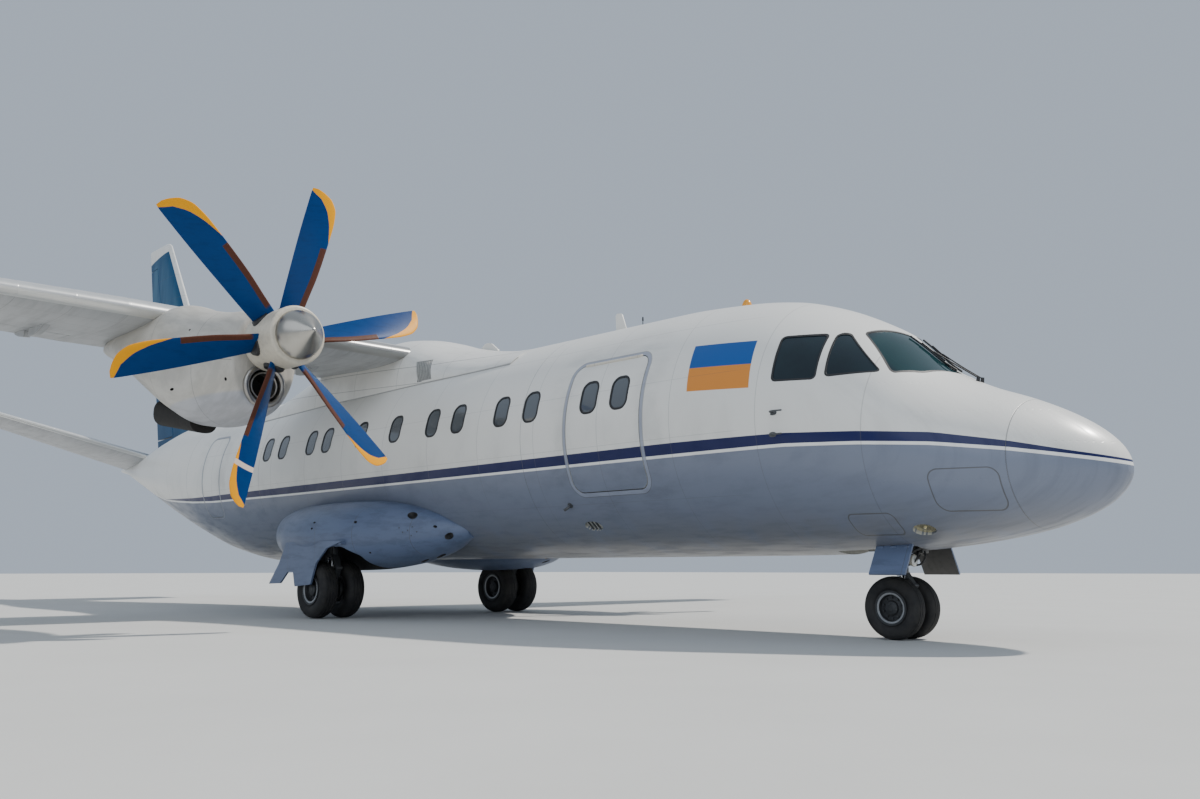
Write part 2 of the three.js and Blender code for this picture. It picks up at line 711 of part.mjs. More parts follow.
function nacelleBody(x, from, to, grow) {
  const between = NACELLE.map(([station]) => station).filter((station) => station > from && station < to);
  return loft([from, ...between, to].map((station) => nacelleRing(station, x, grow)));
}

function axisRod(x, z, from, to, fromRadius, toRadius = fromRadius, sides = 20) {
  return rod(vector(x, at(from), z), vector(x, at(to), z), fromRadius, toRadius, sides);
}

function cavity(x, grow) {
  return nacelleBody(x, NACELLE_CAVITY.from - grow, NACELLE_CAVITY.to + grow, -NACELLE_WALL + grow);
}

function exhaustBlock(side, grow) {
  const x = side * ENGINE_X;
  const rings = [];
  for (const [station, rise] of [[EXHAUST.from, 0], [EXHAUST.to, EXHAUST.rise]]) {
    rings.push(circuit(14, (angle) => {
      const halfHeight = (EXHAUST.high - EXHAUST.low) / 2;
      const [dx, dz] = superPoint(angle, EXHAUST.half + grow, halfHeight + grow, 2.6);
      return vector(x + dx, at(station), (EXHAUST.high + EXHAUST.low) / 2 + rise + dz);
    }));
  }
  return loft(rings);
}

function nacelle(side) {
  const x = side * ENGINE_X;
  const first = NACELLE[0][0];
  const last = NACELLE[NACELLE.length - 1][0];
  const shell = nacelleBody(x, first, last, 0);
  const shaftHole = axisRod(x, PROP.height, first - 10, NACELLE_CAVITY.from + 20, ENGINE.gearbox + 40);
  const mouth = axisRod(x, INTAKE.height, first - 10, INTAKE.back + 20, INTAKE.outer - INTAKE.step);
  return cut(shell, cavity(x, 0), shaftHole, mouth, centreWing(SEAT_GAP), exhaustBlock(side, SEAT_GAP));
}

function exhaust(side) {
  const opening = exhaustBlock(side, -EXHAUST_PIPE.wall);
  const end = box(
    [side * ENGINE_X - 2 * EXHAUST.half, at(EXHAUST.to - EXHAUST_PIPE.depth), 0],
    [side * ENGINE_X + 2 * EXHAUST.half, at(EXHAUST.to + 10), HEIGHT],
  );
  return cut(exhaustBlock(side, 0), opening.intersect(end).translate([0, 5, 0]));
}

function engine(side) {
  const x = side * ENGINE_X;
  const { radius, gearbox: shaftEnd } = ENGINE;
  const block = axisRod(x, ENGINE.height, ENGINE.from, ENGINE.to, radius, radius, 16);
  const gearbox = axisRod(x, PROP.height, ENGINE.face, ENGINE.from + 50, shaftEnd, shaftEnd, 16);
  const mounts = box(
    [x - ENGINE_MOUNT.half, at(ENGINE_MOUNT.from), ENGINE.height - ENGINE_MOUNT.thick],
    [x + ENGINE_MOUNT.half, at(ENGINE_MOUNT.to), ENGINE.height + ENGINE_MOUNT.thick],
  );
  const seated = mounts.intersect(cavity(x, -SEAT_GAP));
  return cut(join(block, gearbox, seated), exhaustBlock(side, 15));
}

// A ring turned about an axis along Y from [radius, station] corners
function turned(corners, x, z, segments) {
  const profile = [...corners, corners[0]].map(([radius, station]) => new THREE.Vector2(radius, station));
  const geometry = new THREE.LatheGeometry(profile, segments);
  geometry.translate(x, at(0), z);
  return closedOutward(geometry);
}

function closedOutward(geometry) {
  const body = solid(geometry);
  if (body.volume() > 0) return body;
  const index = geometry.index.array;
  for (let i = 0; i < index.length; i += 3) {
    [index[i + 1], index[i + 2]] = [index[i + 2], index[i + 1]];
  }
  return solid(geometry);
}

function intake(side) {
  const face = NACELLE[0][0] - SEAT_GAP;
  const seat = INTAKE.outer - INTAKE.step - SEAT_GAP;
  const corners = [
    [INTAKE.bore, INTAKE.front + 30], [INTAKE.bore + 22, INTAKE.front + 4],
    [INTAKE.outer - 20, INTAKE.front], [INTAKE.outer, INTAKE.front + 28],
    [INTAKE.outer, face], [seat, face], [seat, INTAKE.back], [INTAKE.bore, INTAKE.back],
  ];
  return turned(corners, side * ENGINE_X, INTAKE.height, 20);
}

// Propeller

function bladeSolid(angle, x) {
  const outward = vector(Math.sin(angle), 0, Math.cos(angle));
  const ahead = vector(Math.cos(angle), 0, -Math.sin(angle));
  const forward = vector(0, -1, 0);
  const hub = vector(x, at(PROP.station), PROP.height);
  const rings = BLADE.map(([radius, chord, thick, degrees, trail]) => {
    const pitch = THREE.MathUtils.degToRad(degrees);
    const [sine, cosine] = [Math.sin(pitch), Math.cos(pitch)];
    const chordWay = ahead.clone().multiplyScalar(cosine).addScaledVector(forward, sine);
    const thickWay = forward.clone().multiplyScalar(cosine).addScaledVector(ahead, -sine);
    return BLADE_OUTLINE.map(([u, v]) => hub.clone()
      .addScaledVector(outward, radius)
      .addScaledVector(chordWay, trail + u * chord)
      .addScaledVector(thickWay, v * thick));
  });
  return loft(rings);
}

function propeller(side) {
  const x = side * ENGINE_X;
  let body = axisRod(x, PROP.height, HUB.front, HUB.back, HUB.radius, HUB.radius, 28);
  body = body.add(axisRod(x, PROP.height, HUB.back - 10, ENGINE.face - SEAT_GAP, HUB.shaft, HUB.shaft, 12));
  for (let i = 0; i < PROP.blades; i += 1) {
    const angle = THREE.MathUtils.degToRad(PROP.phase + (360 / PROP.blades) * i);
    body = body.add(bladeSolid(angle, x));
  }
  return body;
}

function spinner(side) {
  const x = side * ENGINE_X;
  const shoulder = HUB.front - 110;
  const back = HUB.front - SEAT_GAP;
  const corners = [
    [0, SPINNER.tip], [SPINNER.nose, SPINNER.tip + 8], [SPINNER.radius * 0.62, shoulder - 75],
    [SPINNER.radius * 0.93, shoulder + 40], [SPINNER.radius, back], [0, back],
  ];
  const profile = corners.map(([radius, station]) => new THREE.Vector2(radius, station));
  const geometry = new THREE.LatheGeometry(profile, 28);
  geometry.translate(0, at(0), 0);
  return closedOutward(geometry).translate([x, 0, PROP.height]);
}

// Sponsons with their wheel wells

function sponsonBody(side, grow) {
  return loft(SPONSON.map(([station, halfWidth, halfHeight, from, height]) => circuit(20, (angle) => {
    const [dx, dz] = superPoint(angle, halfWidth + grow, halfHeight + grow, 2.2);
    return vector(side * from + dx, at(station), height + dz);
  })));
}

function wheelWell(side, grow) {
  const [front, back, top] = [WELL.from - grow, WELL.to + grow, WELL.ceiling + grow];
  const outline = polygon([
    [front, 0], [back, 0], [back, WELL.bend], [back - WELL.slope, top], [front + WELL.slope, top],
    [front, WELL.bend],
  ]);
  return sidePrism(outline, side * WELL.inner, side * WELL.outer);
}

function sponson(side) {
  const front = sidePrism(polygon(WELL_FRONT), side * WELL.inner, side * WELL.outer);
  return cut(sponsonBody(side, 0), middle(SEAT_GAP), wheelWell(side, 0), front);
}

function mainDoor(side) {
  const inner = side * (MAIN_DOOR.x - MAIN_DOOR.thickness / 2);
  const outer = side * (MAIN_DOOR.x + MAIN_DOOR.thickness / 2);
  const plate = sidePrism(polygon(MAIN_DOOR_OUTLINE), inner, outer);
  const reach = [side * DOOR_ARM.inner, side * MAIN_DOOR.x];
  const arms = MAIN_DOOR_ARMS.map(([station, height]) => box(
    [Math.min(...reach), at(station), height],
    [Math.max(...reach), at(station + DOOR_ARM.width), height + DOOR_ARM.height],
  ));
  return cut(join(plate, ...arms), sponsonBody(side, SEAT_GAP));
}

// Landing gear

function tyre(gear, x) {
  const tread = gear.radius - gear.rim;
  const half = gear.width / 2;
  const rim = gear.rim + SEAT_GAP;
  const side = [[rim, 0.8], [rim + tread * 0.45, 1], [rim + tread * 0.84, 0.88], [gear.radius, 0.52]];
  const right = side.map(([radius, part]) => new THREE.Vector2(radius, part * half));
  const left = side.map(([radius, part]) => new THREE.Vector2(radius, -part * half)).reverse();
  const geometry = new THREE.LatheGeometry([...right, ...left, right[0]], TYRE_SEGMENTS);
  return wheelPlaced(closedOutward(geometry), gear, x);
}

// Turns a body made about Y so that it spins about X on its axle, a flat downwards
function wheelPlaced(body, gear, x) {
  const half = 180 / TYRE_SEGMENTS;
  return body.rotate([0, half, 0]).rotate([0, 0, 90]).translate([x, at(gear.station), gear.radius * FLAT]);
}

function wheelHubs(gear, strut, x) {
  const height = gear.radius * FLAT;
  const half = gear.width * 0.39;
  const rims = [];
  for (const end of [LEFT, RIGHT]) {
    const profile = [
      [0, half * 0.55], [gear.rim * 0.42, half * 0.6], [gear.rim * 0.5, half * 0.2],
      [gear.rim * 0.84, half * 0.35], [gear.rim * 0.9, half], [gear.rim, half],
      [gear.rim, -half], [0, -half * 0.4],
    ].map(([radius, depth]) => new THREE.Vector2(radius, -end * depth));
    const rim = closedOutward(new THREE.LatheGeometry(profile, TYRE_SEGMENTS));
    rims.push(wheelPlaced(rim, gear, x + end * gear.spacing / 2));
  }
  const reach = gear.spacing / 2;
  const axle = strut.axle - AXLE_CLEARANCE;
  const from = vector(x - reach, at(gear.station), height);
  const to = vector(x + reach, at(gear.station), height);
  return join(...rims, rod(from, to, axle, axle, 24));
}

// Axle housing between two wheels, with a bore for the axle
function axleHousing(gear, strut, x) {
  const height = gear.radius * FLAT;
  const half = (gear.spacing - gear.width) / 2 - 8;
  const end = (shift) => vector(x + shift, at(gear.station), height);
  const housing = rod(end(-half), end(half), strut.collar, strut.collar, 16);
  return { housing, bore: rod(end(-half - 20), end(half + 20), strut.axle, strut.axle, 24) };
}

function column(x, gear, low, high, radius) {
  const y = at(gear.station);
  return rod(vector(x, y, low), vector(x, y, high), radius, radius, 14);
}

// A thin eight-sided stay
function stay(from, to, radius) {
  return rod(from, to, radius, radius, 8);
}

function mainLeg(side) {
  const x = side * MAIN.x;
  const y = at(MAIN.station);
  const height = MAIN.radius * FLAT;
  const { housing, bore } = axleHousing(MAIN, MAIN_STRUT, x);
  const outer = column(x, MAIN, MAIN_STRUT.split, WELL.ceiling, MAIN_STRUT.outer);
  const inner = column(x, MAIN, height, MAIN_STRUT.split + 10, MAIN_STRUT.inner);
  const braceTop = vector(x, y - MAIN_BRACE.ahead, MAIN_BRACE.high);
  const brace = stay(vector(x, y, MAIN_BRACE.low), braceTop, MAIN_BRACE.radius);
  const knee = vector(x, y - MAIN_LINK.ahead, MAIN_LINK.knee);
  const upper = stay(vector(x, y - MAIN_STRUT.inner, MAIN_LINK.top), knee, MAIN_LINK.radius);
  const lower = stay(knee, vector(x, y - 40, height + MAIN_LINK.foot), MAIN_LINK.radius);
  const pinEnd = (end) => vector(x + end * MAIN_LINK.half, knee.y, knee.z);
  const pin = stay(pinEnd(-1), pinEnd(1), MAIN_LINK.pin);
  const leg = join(outer, inner, housing, brace, upper, lower, pin);
  return cut(leg.intersect(wheelWell(side, -SEAT_GAP)), bore);
}

function noseLeg() {
  const y = at(NOSE.station);
  const ceiling = NOSE_STRUT.bay - SEAT_GAP;
  const shaft = column(0, NOSE, NOSE_STRUT.split, ceiling, NOSE_STRUT.outer);
  const braceTop = vector(0, y + NOSE_BRACE.behind, NOSE_BRACE.high);
  const brace = stay(vector(0, y, NOSE_BRACE.low), braceTop, NOSE_BRACE.radius);
  const { half, thick, low } = NOSE_HEAD;
  const head = box([-half, y - thick, low], [half, y + thick, ceiling]);
  const roof = box([-NOSE_BAY.half, y - 900, ceiling], [NOSE_BAY.half, y + 900, 2000]);
  return cut(join(shaft, brace, head), roof);
}

function noseFork() {
  const height = NOSE.radius * FLAT;
  const { housing, bore } = axleHousing(NOSE, NOSE_STRUT, 0);
  const top = NOSE_STRUT.split - SEAT_GAP;
  const y = at(NOSE.station);
  const collar = column(0, NOSE, top - 55, top, NOSE_STRUT.outer + 8);
  const piston = column(0, NOSE, height, top - 20, NOSE_STRUT.inner);
  const knee = vector(0, y - NOSE_LINK.ahead, NOSE_LINK.knee);
  const upper = stay(vector(0, y - 50, NOSE_LINK.top), knee, NOSE_LINK.radius);
  const lower = stay(knee, vector(0, y - 30, height + NOSE_LINK.foot), NOSE_LINK.radius);
  const pinEnd = (end) => vector(end * TOW_PIN.half, y - TOW_PIN.ahead, height);
  const tow = stay(pinEnd(-1), pinEnd(1), TOW_PIN.radius);
  const { lug } = TOW_PIN;
  const arm = box([-lug - 2, y - TOW_PIN.ahead, height - lug], [lug + 2, y, height + lug]);
  return cut(join(collar, piston, housing, upper, lower, tow, arm), bore);
}

function noseDoor(side) {
  const { top, low, thickness } = NOSE_DOOR;
  const down = vector(low[0] - top[0], 0, low[1] - top[1]).normalize();
  const half = vector(-down.z, 0, down.x).multiplyScalar(thickness / 2);
  const edge = ([x, z], way) => vector(x, 0, z).addScaledVector(half, way);
  const corners = [edge(top, 1), edge(top, -1), edge(low, -1), edge(low, 1)];
  const ring = (station) => corners.map(({ x, z }) => vector(side * x, at(station), z));
  return cut(loft([ring(NOSE_DOOR.from), ring(NOSE_DOOR.to)]), nose(SEAT_GAP));
}

// Assembly

const airliner = new THREE.Group();
const sideNames = [[LEFT, 'left'], [RIGHT, 'right']];

function place(name, body, paint) {
  const [color, roughness, metalness] = PAINTS[paint];
  const material = new THREE.MeshStandardMaterial({ color, roughness, metalness });
  const mesh = new THREE.Mesh(geometryOf(body), material);
  mesh.name = name;
  airliner.add(mesh);
}

const noseBay = box(
  [-NOSE_BAY.half, at(NOSE_BAY.from), 0], [NOSE_BAY.half, at(NOSE_BAY.to), NOSE_STRUT.bay],
);
const frontShell = cut(nose(0), compartment(CARGO_BAY, nose), glazing(nose(50), SEAT_GAP), noseBay);
const rearCabin = compartment(REAR_CABIN, rearHull);
const rearShell = cut(rear(0), rearCabin, doorPrism(SERVICE_DOOR, SEAT_GAP));

place('radome', fuselageBody(0, RADOME_END, RADOME_STATIONS), 'white');
place('fuselage_front', doorway(frontShell, CARGO_DOOR, cargoHinge), 'white');
place('fuselage_centre', middle(0), 'white');
place('cockpit_glazing', glazing(nose(-GLASS_INSET), 0), 'glass');
place('cargo_door', hingedDoor(CARGO_DOOR, cargoHinge, nose), 'white');
place('airstair_door', join(hingedDoor(AIRSTAIR, stairHinge, rear), stairTreads()), 'white');
place('service_door', doorPanel(SERVICE_DOOR, rear), 'white');

const { fixed: fin, moving: rudder } = finAndRudder();
place('fin', cut(fin, seatedHull), 'teal');
place('rudder', rudder, 'teal');
place('fuselage_rear', doorway(rearShell, AIRSTAIR, stairHinge), 'white');
place('fuselage_tail', cut(taper(0), rearCabin), 'white');
place('tail_cone', cone(0), 'white');

const wingHoles = centreWing(SEAT_GAP);
place('wing_fairing', cut(loft(WING_FAIRING.map(fairingRing)), seatedHull, wingHoles), 'white');

const upward = vector(0, 0, 1);
let centre = centreWing(0);
for (const [side, name] of sideNames) {
  const innerEnds = [INNER_FLAP.from, INNER_FLAP.to].map((x) => wingHinge(side * x, FLAP_HINGE));
  const inner = controlSurface(centre, innerEnds[0], innerEnds[1], upward, FLAP_GAP);
  centre = inner.fixed;
  place(`flap_inner_${name}`, inner.moving, 'grey');

  const outerEnds = [OUTER_FLAP.from, OUTER_FLAP.to].map((x) => wingHinge(side * x, FLAP_HINGE));
  const outer = controlSurface(outerWing(side), outerEnds[0], outerEnds[1], upward, FLAP_GAP);
  place(`flap_outer_${name}`, outer.moving, 'grey');
  const aileronEnds = [AILERON.from, AILERON.to].map((x) => wingHinge(side * x, AILERON_HINGE));
  const aileron = controlSurface(outer.fixed, aileronEnds[0], aileronEnds[1], upward, RUNNING_GAP);
  place(`aileron_${name}`, aileron.moving, 'grey');
  place(`wing_${name}`, aileron.fixed, 'grey');

  const tail = tailplane(side);
  place(`tailplane_${name}`, cut(tail.fixed, seatedHull), 'grey');
  place(`elevator_${name}`, tail.moving, 'grey');

  place(`nacelle_${name}`, nacelle(side), 'cream');
  place(`engine_${name}`, engine(side), 'steel');
  place(`exhaust_${name}`, exhaust(side), 'soot');
  place(`intake_${name}`, intake(side), 'metal');
  place(`propeller_${name}`, propeller(side), 'blue');
  place(`spinner_${name}`, spinner(side), 'metal');

  place(`sponson_${name}`, sponson(side), 'grey');
  place(`main_door_${name}`, mainDoor(side), 'grey');
  place(`main_leg_${name}`, mainLeg(side), 'steel');
  place(`main_hubs_${name}`, wheelHubs(MAIN, MAIN_STRUT, side * MAIN.x), 'steel');
  place(`main_tyre_outer_${name}`, tyre(MAIN, side * (MAIN.x + MAIN.spacing / 2)), 'rubber');
  place(`main_tyre_inner_${name}`, tyre(MAIN, side * (MAIN.x - MAIN.spacing / 2)), 'rubber');

  place(`nose_tyre_${name}`, tyre(NOSE, side * NOSE.spacing / 2), 'rubber');
  place(`nose_door_${name}`, noseDoor(side), 'grey');
}
place('wing_centre', centre, 'grey');
place('nose_leg', noseLeg(), 'steel');
place('nose_fork', noseFork(), 'steel');
place('nose_hubs', wheelHubs(NOSE, NOSE_STRUT, 0), 'steel');

export default airliner;
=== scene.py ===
# %% [markdown]
# # A twin turboprop airliner, dressed piece by piece
# The imported model gives every piece its place and its joints. This lesson builds the smooth skins,
# glass, paint and small fittings over it, in metres and in the same frame: +X is the aircraft's left,
# the nose looks along -Y and +Z is up.

import math

import bmesh
import bpy
from mathutils import Matrix, Vector


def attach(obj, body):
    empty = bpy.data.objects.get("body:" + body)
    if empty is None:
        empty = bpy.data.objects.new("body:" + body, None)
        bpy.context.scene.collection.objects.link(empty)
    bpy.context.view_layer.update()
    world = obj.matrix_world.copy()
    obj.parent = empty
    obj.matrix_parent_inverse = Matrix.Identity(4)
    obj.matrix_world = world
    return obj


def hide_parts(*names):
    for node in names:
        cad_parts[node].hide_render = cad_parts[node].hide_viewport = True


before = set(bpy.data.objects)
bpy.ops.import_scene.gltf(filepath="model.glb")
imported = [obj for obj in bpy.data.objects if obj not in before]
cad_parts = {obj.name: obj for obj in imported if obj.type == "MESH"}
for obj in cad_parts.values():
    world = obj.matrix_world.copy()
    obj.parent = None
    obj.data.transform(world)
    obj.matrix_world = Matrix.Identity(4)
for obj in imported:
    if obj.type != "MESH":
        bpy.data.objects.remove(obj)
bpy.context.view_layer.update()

# %% [markdown]
# ## Camera and light
# The photograph was taken from knee height, ahead of the nose and to its right. A wide lens stands
# there, with no shift. The sun stands on the far side, high on the left, so the near side lies in
# soft shade: a pale sky and light thrown back by the pale floor fill it, and a weak second sun keeps
# the near skin from looking flat.

# %% Camera
CAMERA_PLACE = (-9.5785, -14.4731, 0.6859)
CAMERA_TILT = 0.1598
CAMERA_HEADING = 0.7819
camera_data = bpy.data.cameras.new("camera")
camera_data.lens = 31.5
camera_data.sensor_width = 36.0
camera_data.clip_end = 400.0
camera = bpy.data.objects.new("camera", camera_data)
camera.location = CAMERA_PLACE
camera.rotation_euler = (math.pi / 2 + CAMERA_TILT, 0.0, -CAMERA_HEADING)
bpy.context.scene.collection.objects.link(camera)
bpy.context.scene.camera = camera

# %% Light


def sun(name, strength, softness, heading, height, colour):
    """A sun that shines from a heading (0 is ahead of the nose, 90 the left side) and a height."""
    lamp = bpy.data.lights.new(name, "SUN")
    lamp.energy = strength
    lamp.angle = math.radians(softness)
    lamp.color = colour
    holder = bpy.data.objects.new(name, lamp)
    turn, rise = math.radians(heading), math.radians(height)
    source = Vector((math.sin(turn) * math.cos(rise), -math.cos(turn) * math.cos(rise), math.sin(rise)))
    holder.rotation_euler = source.to_track_quat("Z", "Y").to_euler()
    bpy.context.scene.collection.objects.link(holder)


sun("key_sun", 4.2, 2.0, 62.0, 50.0, (1.0, 0.96, 0.90))
sun("fill_sun", 0.8, 50.0, -62.0, 32.0, (0.86, 0.92, 1.0))

world = bpy.data.worlds.new("pale_sky")
world.use_nodes = True
world.node_tree.nodes["Background"].inputs["Color"].default_value = (0.66, 0.76, 0.9, 1.0)
world.node_tree.nodes["Background"].inputs["Strength"].default_value = 0.66
bpy.context.scene.world = world

# %% [markdown]
# ## Shader maths as Python
# A paint pattern is arithmetic on a point's place. Wiring Math nodes by hand hides that arithmetic,
# so one small class wraps a socket: an expression such as `1 - mask` adds the node that works it out.
# A second class holds the material and makes any other node through one method.

# %% Sockets that do sums


class Value:
    """A number that changes over a surface, as a node's output."""

    def __init__(self, finish, socket):
        self.finish, self.socket = finish, socket

    def maths(self, operation, *others, settings=None):
        inputs = dict(enumerate((self, *others)))
        return self.finish.node("ShaderNodeMath", {"operation": operation, **(settings or {})}, inputs, 0)

    def __add__(self, other):
        return self.maths("ADD", other)

    def __sub__(self, other):
        return self.maths("SUBTRACT", other)

    def __mul__(self, other):
        return self.maths("MULTIPLY", other)

    def __truediv__(self, other):
        return self.maths("DIVIDE", other)

    def __rsub__(self, other):
        return self.maths("MULTIPLY", -1.0) + other

    def __rtruediv__(self, other):
        return self.maths("POWER", -1.0) * other

    def __pow__(self, power):
        return self.maths("POWER", power)

    def __abs__(self):
        return self.maths("ABSOLUTE")

    __radd__ = __add__
    __rmul__ = __mul__

    def least(self, other):
        return self.maths("MINIMUM", other)

    def most(self, other):
        return self.maths("MAXIMUM", other)

    def above(self, edge, soft=0.004):
        """0 below the edge and 1 above it, with a soft step."""
        inputs = {"Value": self - edge, "From Min": -soft, "From Max": soft}
        return self.finish.node("ShaderNodeMapRange", {"interpolation_type": "SMOOTHSTEP"}, inputs, 0)

    def below(self, edge, soft=0.004):
        return 1 - self.above(edge, soft)

    def between(self, low, high, soft=0.004):
        return self.above(low, soft) * self.below(high, soft)

    def repeat(self, pitch, shift):
        """Distance to the nearest of the evenly spaced lines."""
        return (self + shift).maths("PINGPONG", pitch / 2)

    def lines(self, pitch, width, shift=0.0):
        """1 on evenly spaced thin lines."""
        return self.repeat(pitch, shift).below(width, width * 0.7)


class Finish:
    """A material under construction."""

    def __init__(self, name, roughness=0.5, metallic=0.0):
        self.material = bpy.data.materials.new(name)
        self.material.use_nodes = True
        self.tree = self.material.node_tree
        self.shader = self.tree.nodes["Principled BSDF"]
        self.put("Roughness", roughness)
        self.put("Metallic", metallic)
        where = self.node("ShaderNodeTexCoord", {}, {})
        self.where = where.outputs["Object"]
        self.uv = where.outputs["UV"]
        self.x, self.y, self.z = self.parts(self.where)

    def node(self, kind, settings, inputs, output=None):
        """Any node: its settings first, then the values or links of its sockets."""
        made = self.tree.nodes.new(kind)
        for name, value in settings.items():
            if name == "stops":
                self.set_stops(made.color_ramp, value)
            else:
                setattr(made, name, value)
        for name, value in inputs.items():
            self.plug(made.inputs[name], value)
        return made if output is None else Value(self, made.outputs[output])

    def plug(self, socket, value):
        if isinstance(value, Value):
            value = value.socket
        if isinstance(value, bpy.types.NodeSocket):
            self.tree.links.new(value, socket)
        elif socket.type == "RGBA" and len(value) == 3:
            socket.default_value = (*value, 1.0)
        else:
            socket.default_value = value

    def set_stops(self, ramp, stops):
        while len(ramp.elements) < len(stops):
            ramp.elements.new(1.0)
        for element, (place, level) in zip(ramp.elements, stops):
            element.position = place
            element.color = (level, level, level, 1.0)

    def parts(self, vector):
        split = self.node("ShaderNodeSeparateXYZ", {}, {0: vector})
        return [Value(self, socket) for socket in split.outputs]

    def curve(self, value, stops):
        """One value against another, both from 0 to 1, on straight lines between the stops."""
        return self.node("ShaderNodeValToRGB", {"stops": stops}, {0: value}, 0)

    def noise(self, scale, detail, roughness=0.55, stretch=None):
        """Soft noise around 0.5, stretched along the axes if a scale is given for each."""
        place = self.where
        if stretch is not None:
            place = self.node("ShaderNodeMapping", {}, {"Vector": place, "Scale": stretch}).outputs[0]
        inputs = {"Vector": place, "Scale": scale, "Detail": detail, "Roughness": roughness}
        return self.node("ShaderNodeTexNoise", {}, inputs, 0)

    def mix(self, mask, low, high):
        """A colour between two others."""
        inputs = {0: mask, 6: low, 7: high}
        return self.node("ShaderNodeMix", {"data_type": "RGBA"}, inputs).outputs[2]

    def tint(self, colour, mask, factor):
        """The colour multiplied by a grey factor where the mask is 1."""
        inputs = {0: mask, 6: colour, 7: (factor, factor, factor)}
        return self.node("ShaderNodeMix", {"data_type": "RGBA", "blend_type": "MULTIPLY"}, inputs).outputs[2]

    def put(self, socket, value):
        self.plug(self.shader.inputs[socket], value)

    def bump(self, height, distance, strength):
        inputs = {"Height": height, "Distance": distance, "Strength": strength}
        made = self.node("ShaderNodeBump", {}, inputs)
        self.put("Normal", made.outputs[0])

    def fixed(self, **levels):
        """Socket values that are the same all over the surface."""
        for name, level in levels.items():
            self.put(name.replace("_", " "), level)
        return self


def dimmed(colour, part):
    return tuple(level * part for level in colour)


# %% [markdown]
# ## Mesh helpers
# Every skin here is a grid bent round into a closed tube, because an aircraft is drawn by its
# cross-sections. Openings are cut with Blender's Boolean modifier, whose result is kept as a mesh.

# %% Grids bent into tubes, and cuts


def wrapped(around, steps, place):
    """A grid bent round into a tube: place(turn, run) gives a point, both from 0 to 1."""
    bm = bmesh.new()
    bmesh.ops.create_grid(bm, x_segments=around, y_segments=steps, size=0.5)
    layer = bm.loops.layers.uv.new("turn_and_run")
    for face in bm.faces:
        for loop in face.loops:
            loop[layer].uv = (loop.vert.co.x + 0.5, loop.vert.co.y + 0.5)
    for vert in bm.verts:
        vert.co = place(vert.co.x + 0.5, vert.co.y + 0.5)
    bmesh.ops.remove_doubles(bm, verts=bm.verts, dist=1e-5)
    rims = [edge for edge in bm.edges if edge.is_boundary]
    if rims:
        bmesh.ops.holes_fill(bm, edges=rims, sides=0)
    bmesh.ops.recalc_face_normals(bm, faces=bm.faces)
    return bm


def block(low, high, corner=0.0, lengthways=None, segments=5):
    """A box between two corners, with its edges along one axis rounded."""
    bm = bmesh.new()
    bmesh.ops.create_cube(bm, size=1.0)
    low, high = Vector(low), Vector(high)
    bmesh.ops.scale(bm, vec=high - low, verts=bm.verts)
    bmesh.ops.translate(bm, vec=(low + high) / 2, verts=bm.verts)
    if corner:
        edges = bm.edges[:]
        if lengthways is not None:
            edges = [e for e in edges if abs((e.verts[0].co - e.verts[1].co).normalized()[lengthways]) > 0.9]
        bmesh.ops.bevel(
            bm, geom=edges, offset=corner, segments=segments, affect="EDGES", profile=0.5, material=-1,
        )
    return bm


def rod(start, end, radius, end_radius=None, sides=32, bevel=0.0):
    """A round rod, or a cone, between two points."""
    start, end = Vector(start), Vector(end)
    way = end - start
    bm = bmesh.new()
    bmesh.ops.create_cone(
        bm, cap_ends=True, segments=sides, radius1=radius, depth=way.length,
        radius2=radius if end_radius is None else end_radius,
    )
    if bevel:
        caps = [e for f in bm.faces if len(f.verts) > 4 for e in f.edges]
        bmesh.ops.bevel(
            bm, geom=caps, offset=bevel, segments=2, affect="EDGES", profile=0.5, material=-1,
        )
    turn = Vector((0, 0, 1)).rotation_difference(way).to_matrix().to_4x4()
    bmesh.ops.transform(bm, matrix=Matrix.Translation((start + end) / 2) @ turn, verts=bm.verts)
    return bm


def pushed(points, way, corner=0.0, segments=4):
    """A flat outline pushed along a direction, with its corners rounded."""
    bm = bmesh.new()
    face = bm.faces.new([bm.verts.new(point) for point in points])
    moved = bmesh.ops.extrude_face_region(bm, geom=[face])["geom"]
    way = Vector(way)
    bmesh.ops.translate(bm, vec=way, verts=[v for v in moved if isinstance(v, bmesh.types.BMVert)])
    if corner:
        edges = [
            e for e in bm.edges
            if abs((e.verts[0].co - e.verts[1].co).normalized().dot(way.normalized())) > 0.99
        ]
        bmesh.ops.bevel(
            bm, geom=edges, offset=corner, segments=segments, affect="EDGES", profile=0.5, material=-1,
        )
    bmesh.ops.recalc_face_normals(bm, faces=bm.faces)
    return bm


def turned(profile, start, end, steps):
    """A closed outline of (distance along, radius) spun about the line from start to end."""
    start, end = Vector(start), Vector(end)
    axis = (end - start).normalized()
    side = axis.orthogonal().normalized()
    bm = bmesh.new()
    ring = [bm.verts.new(start + axis * along + side * radius) for along, radius in profile]
    edges = [bm.edges.new((a, b)) for a, b in zip(ring, ring[1:] + ring[:1])]
    bmesh.ops.spin(
        bm, geom=ring + edges, cent=start, axis=axis, angle=math.tau, steps=steps, use_merge=True,
    )
    bmesh.ops.remove_doubles(bm, verts=bm.verts, dist=1e-6)
    bmesh.ops.recalc_face_normals(bm, faces=bm.faces)
    return bm


def as_object(bm, name="work"):
    mesh = bpy.data.meshes.new(name)
    bm.to_mesh(mesh)
    bm.free()
    made = bpy.data.objects.new(name, mesh)
    bpy.context.scene.collection.objects.link(made)
    return made


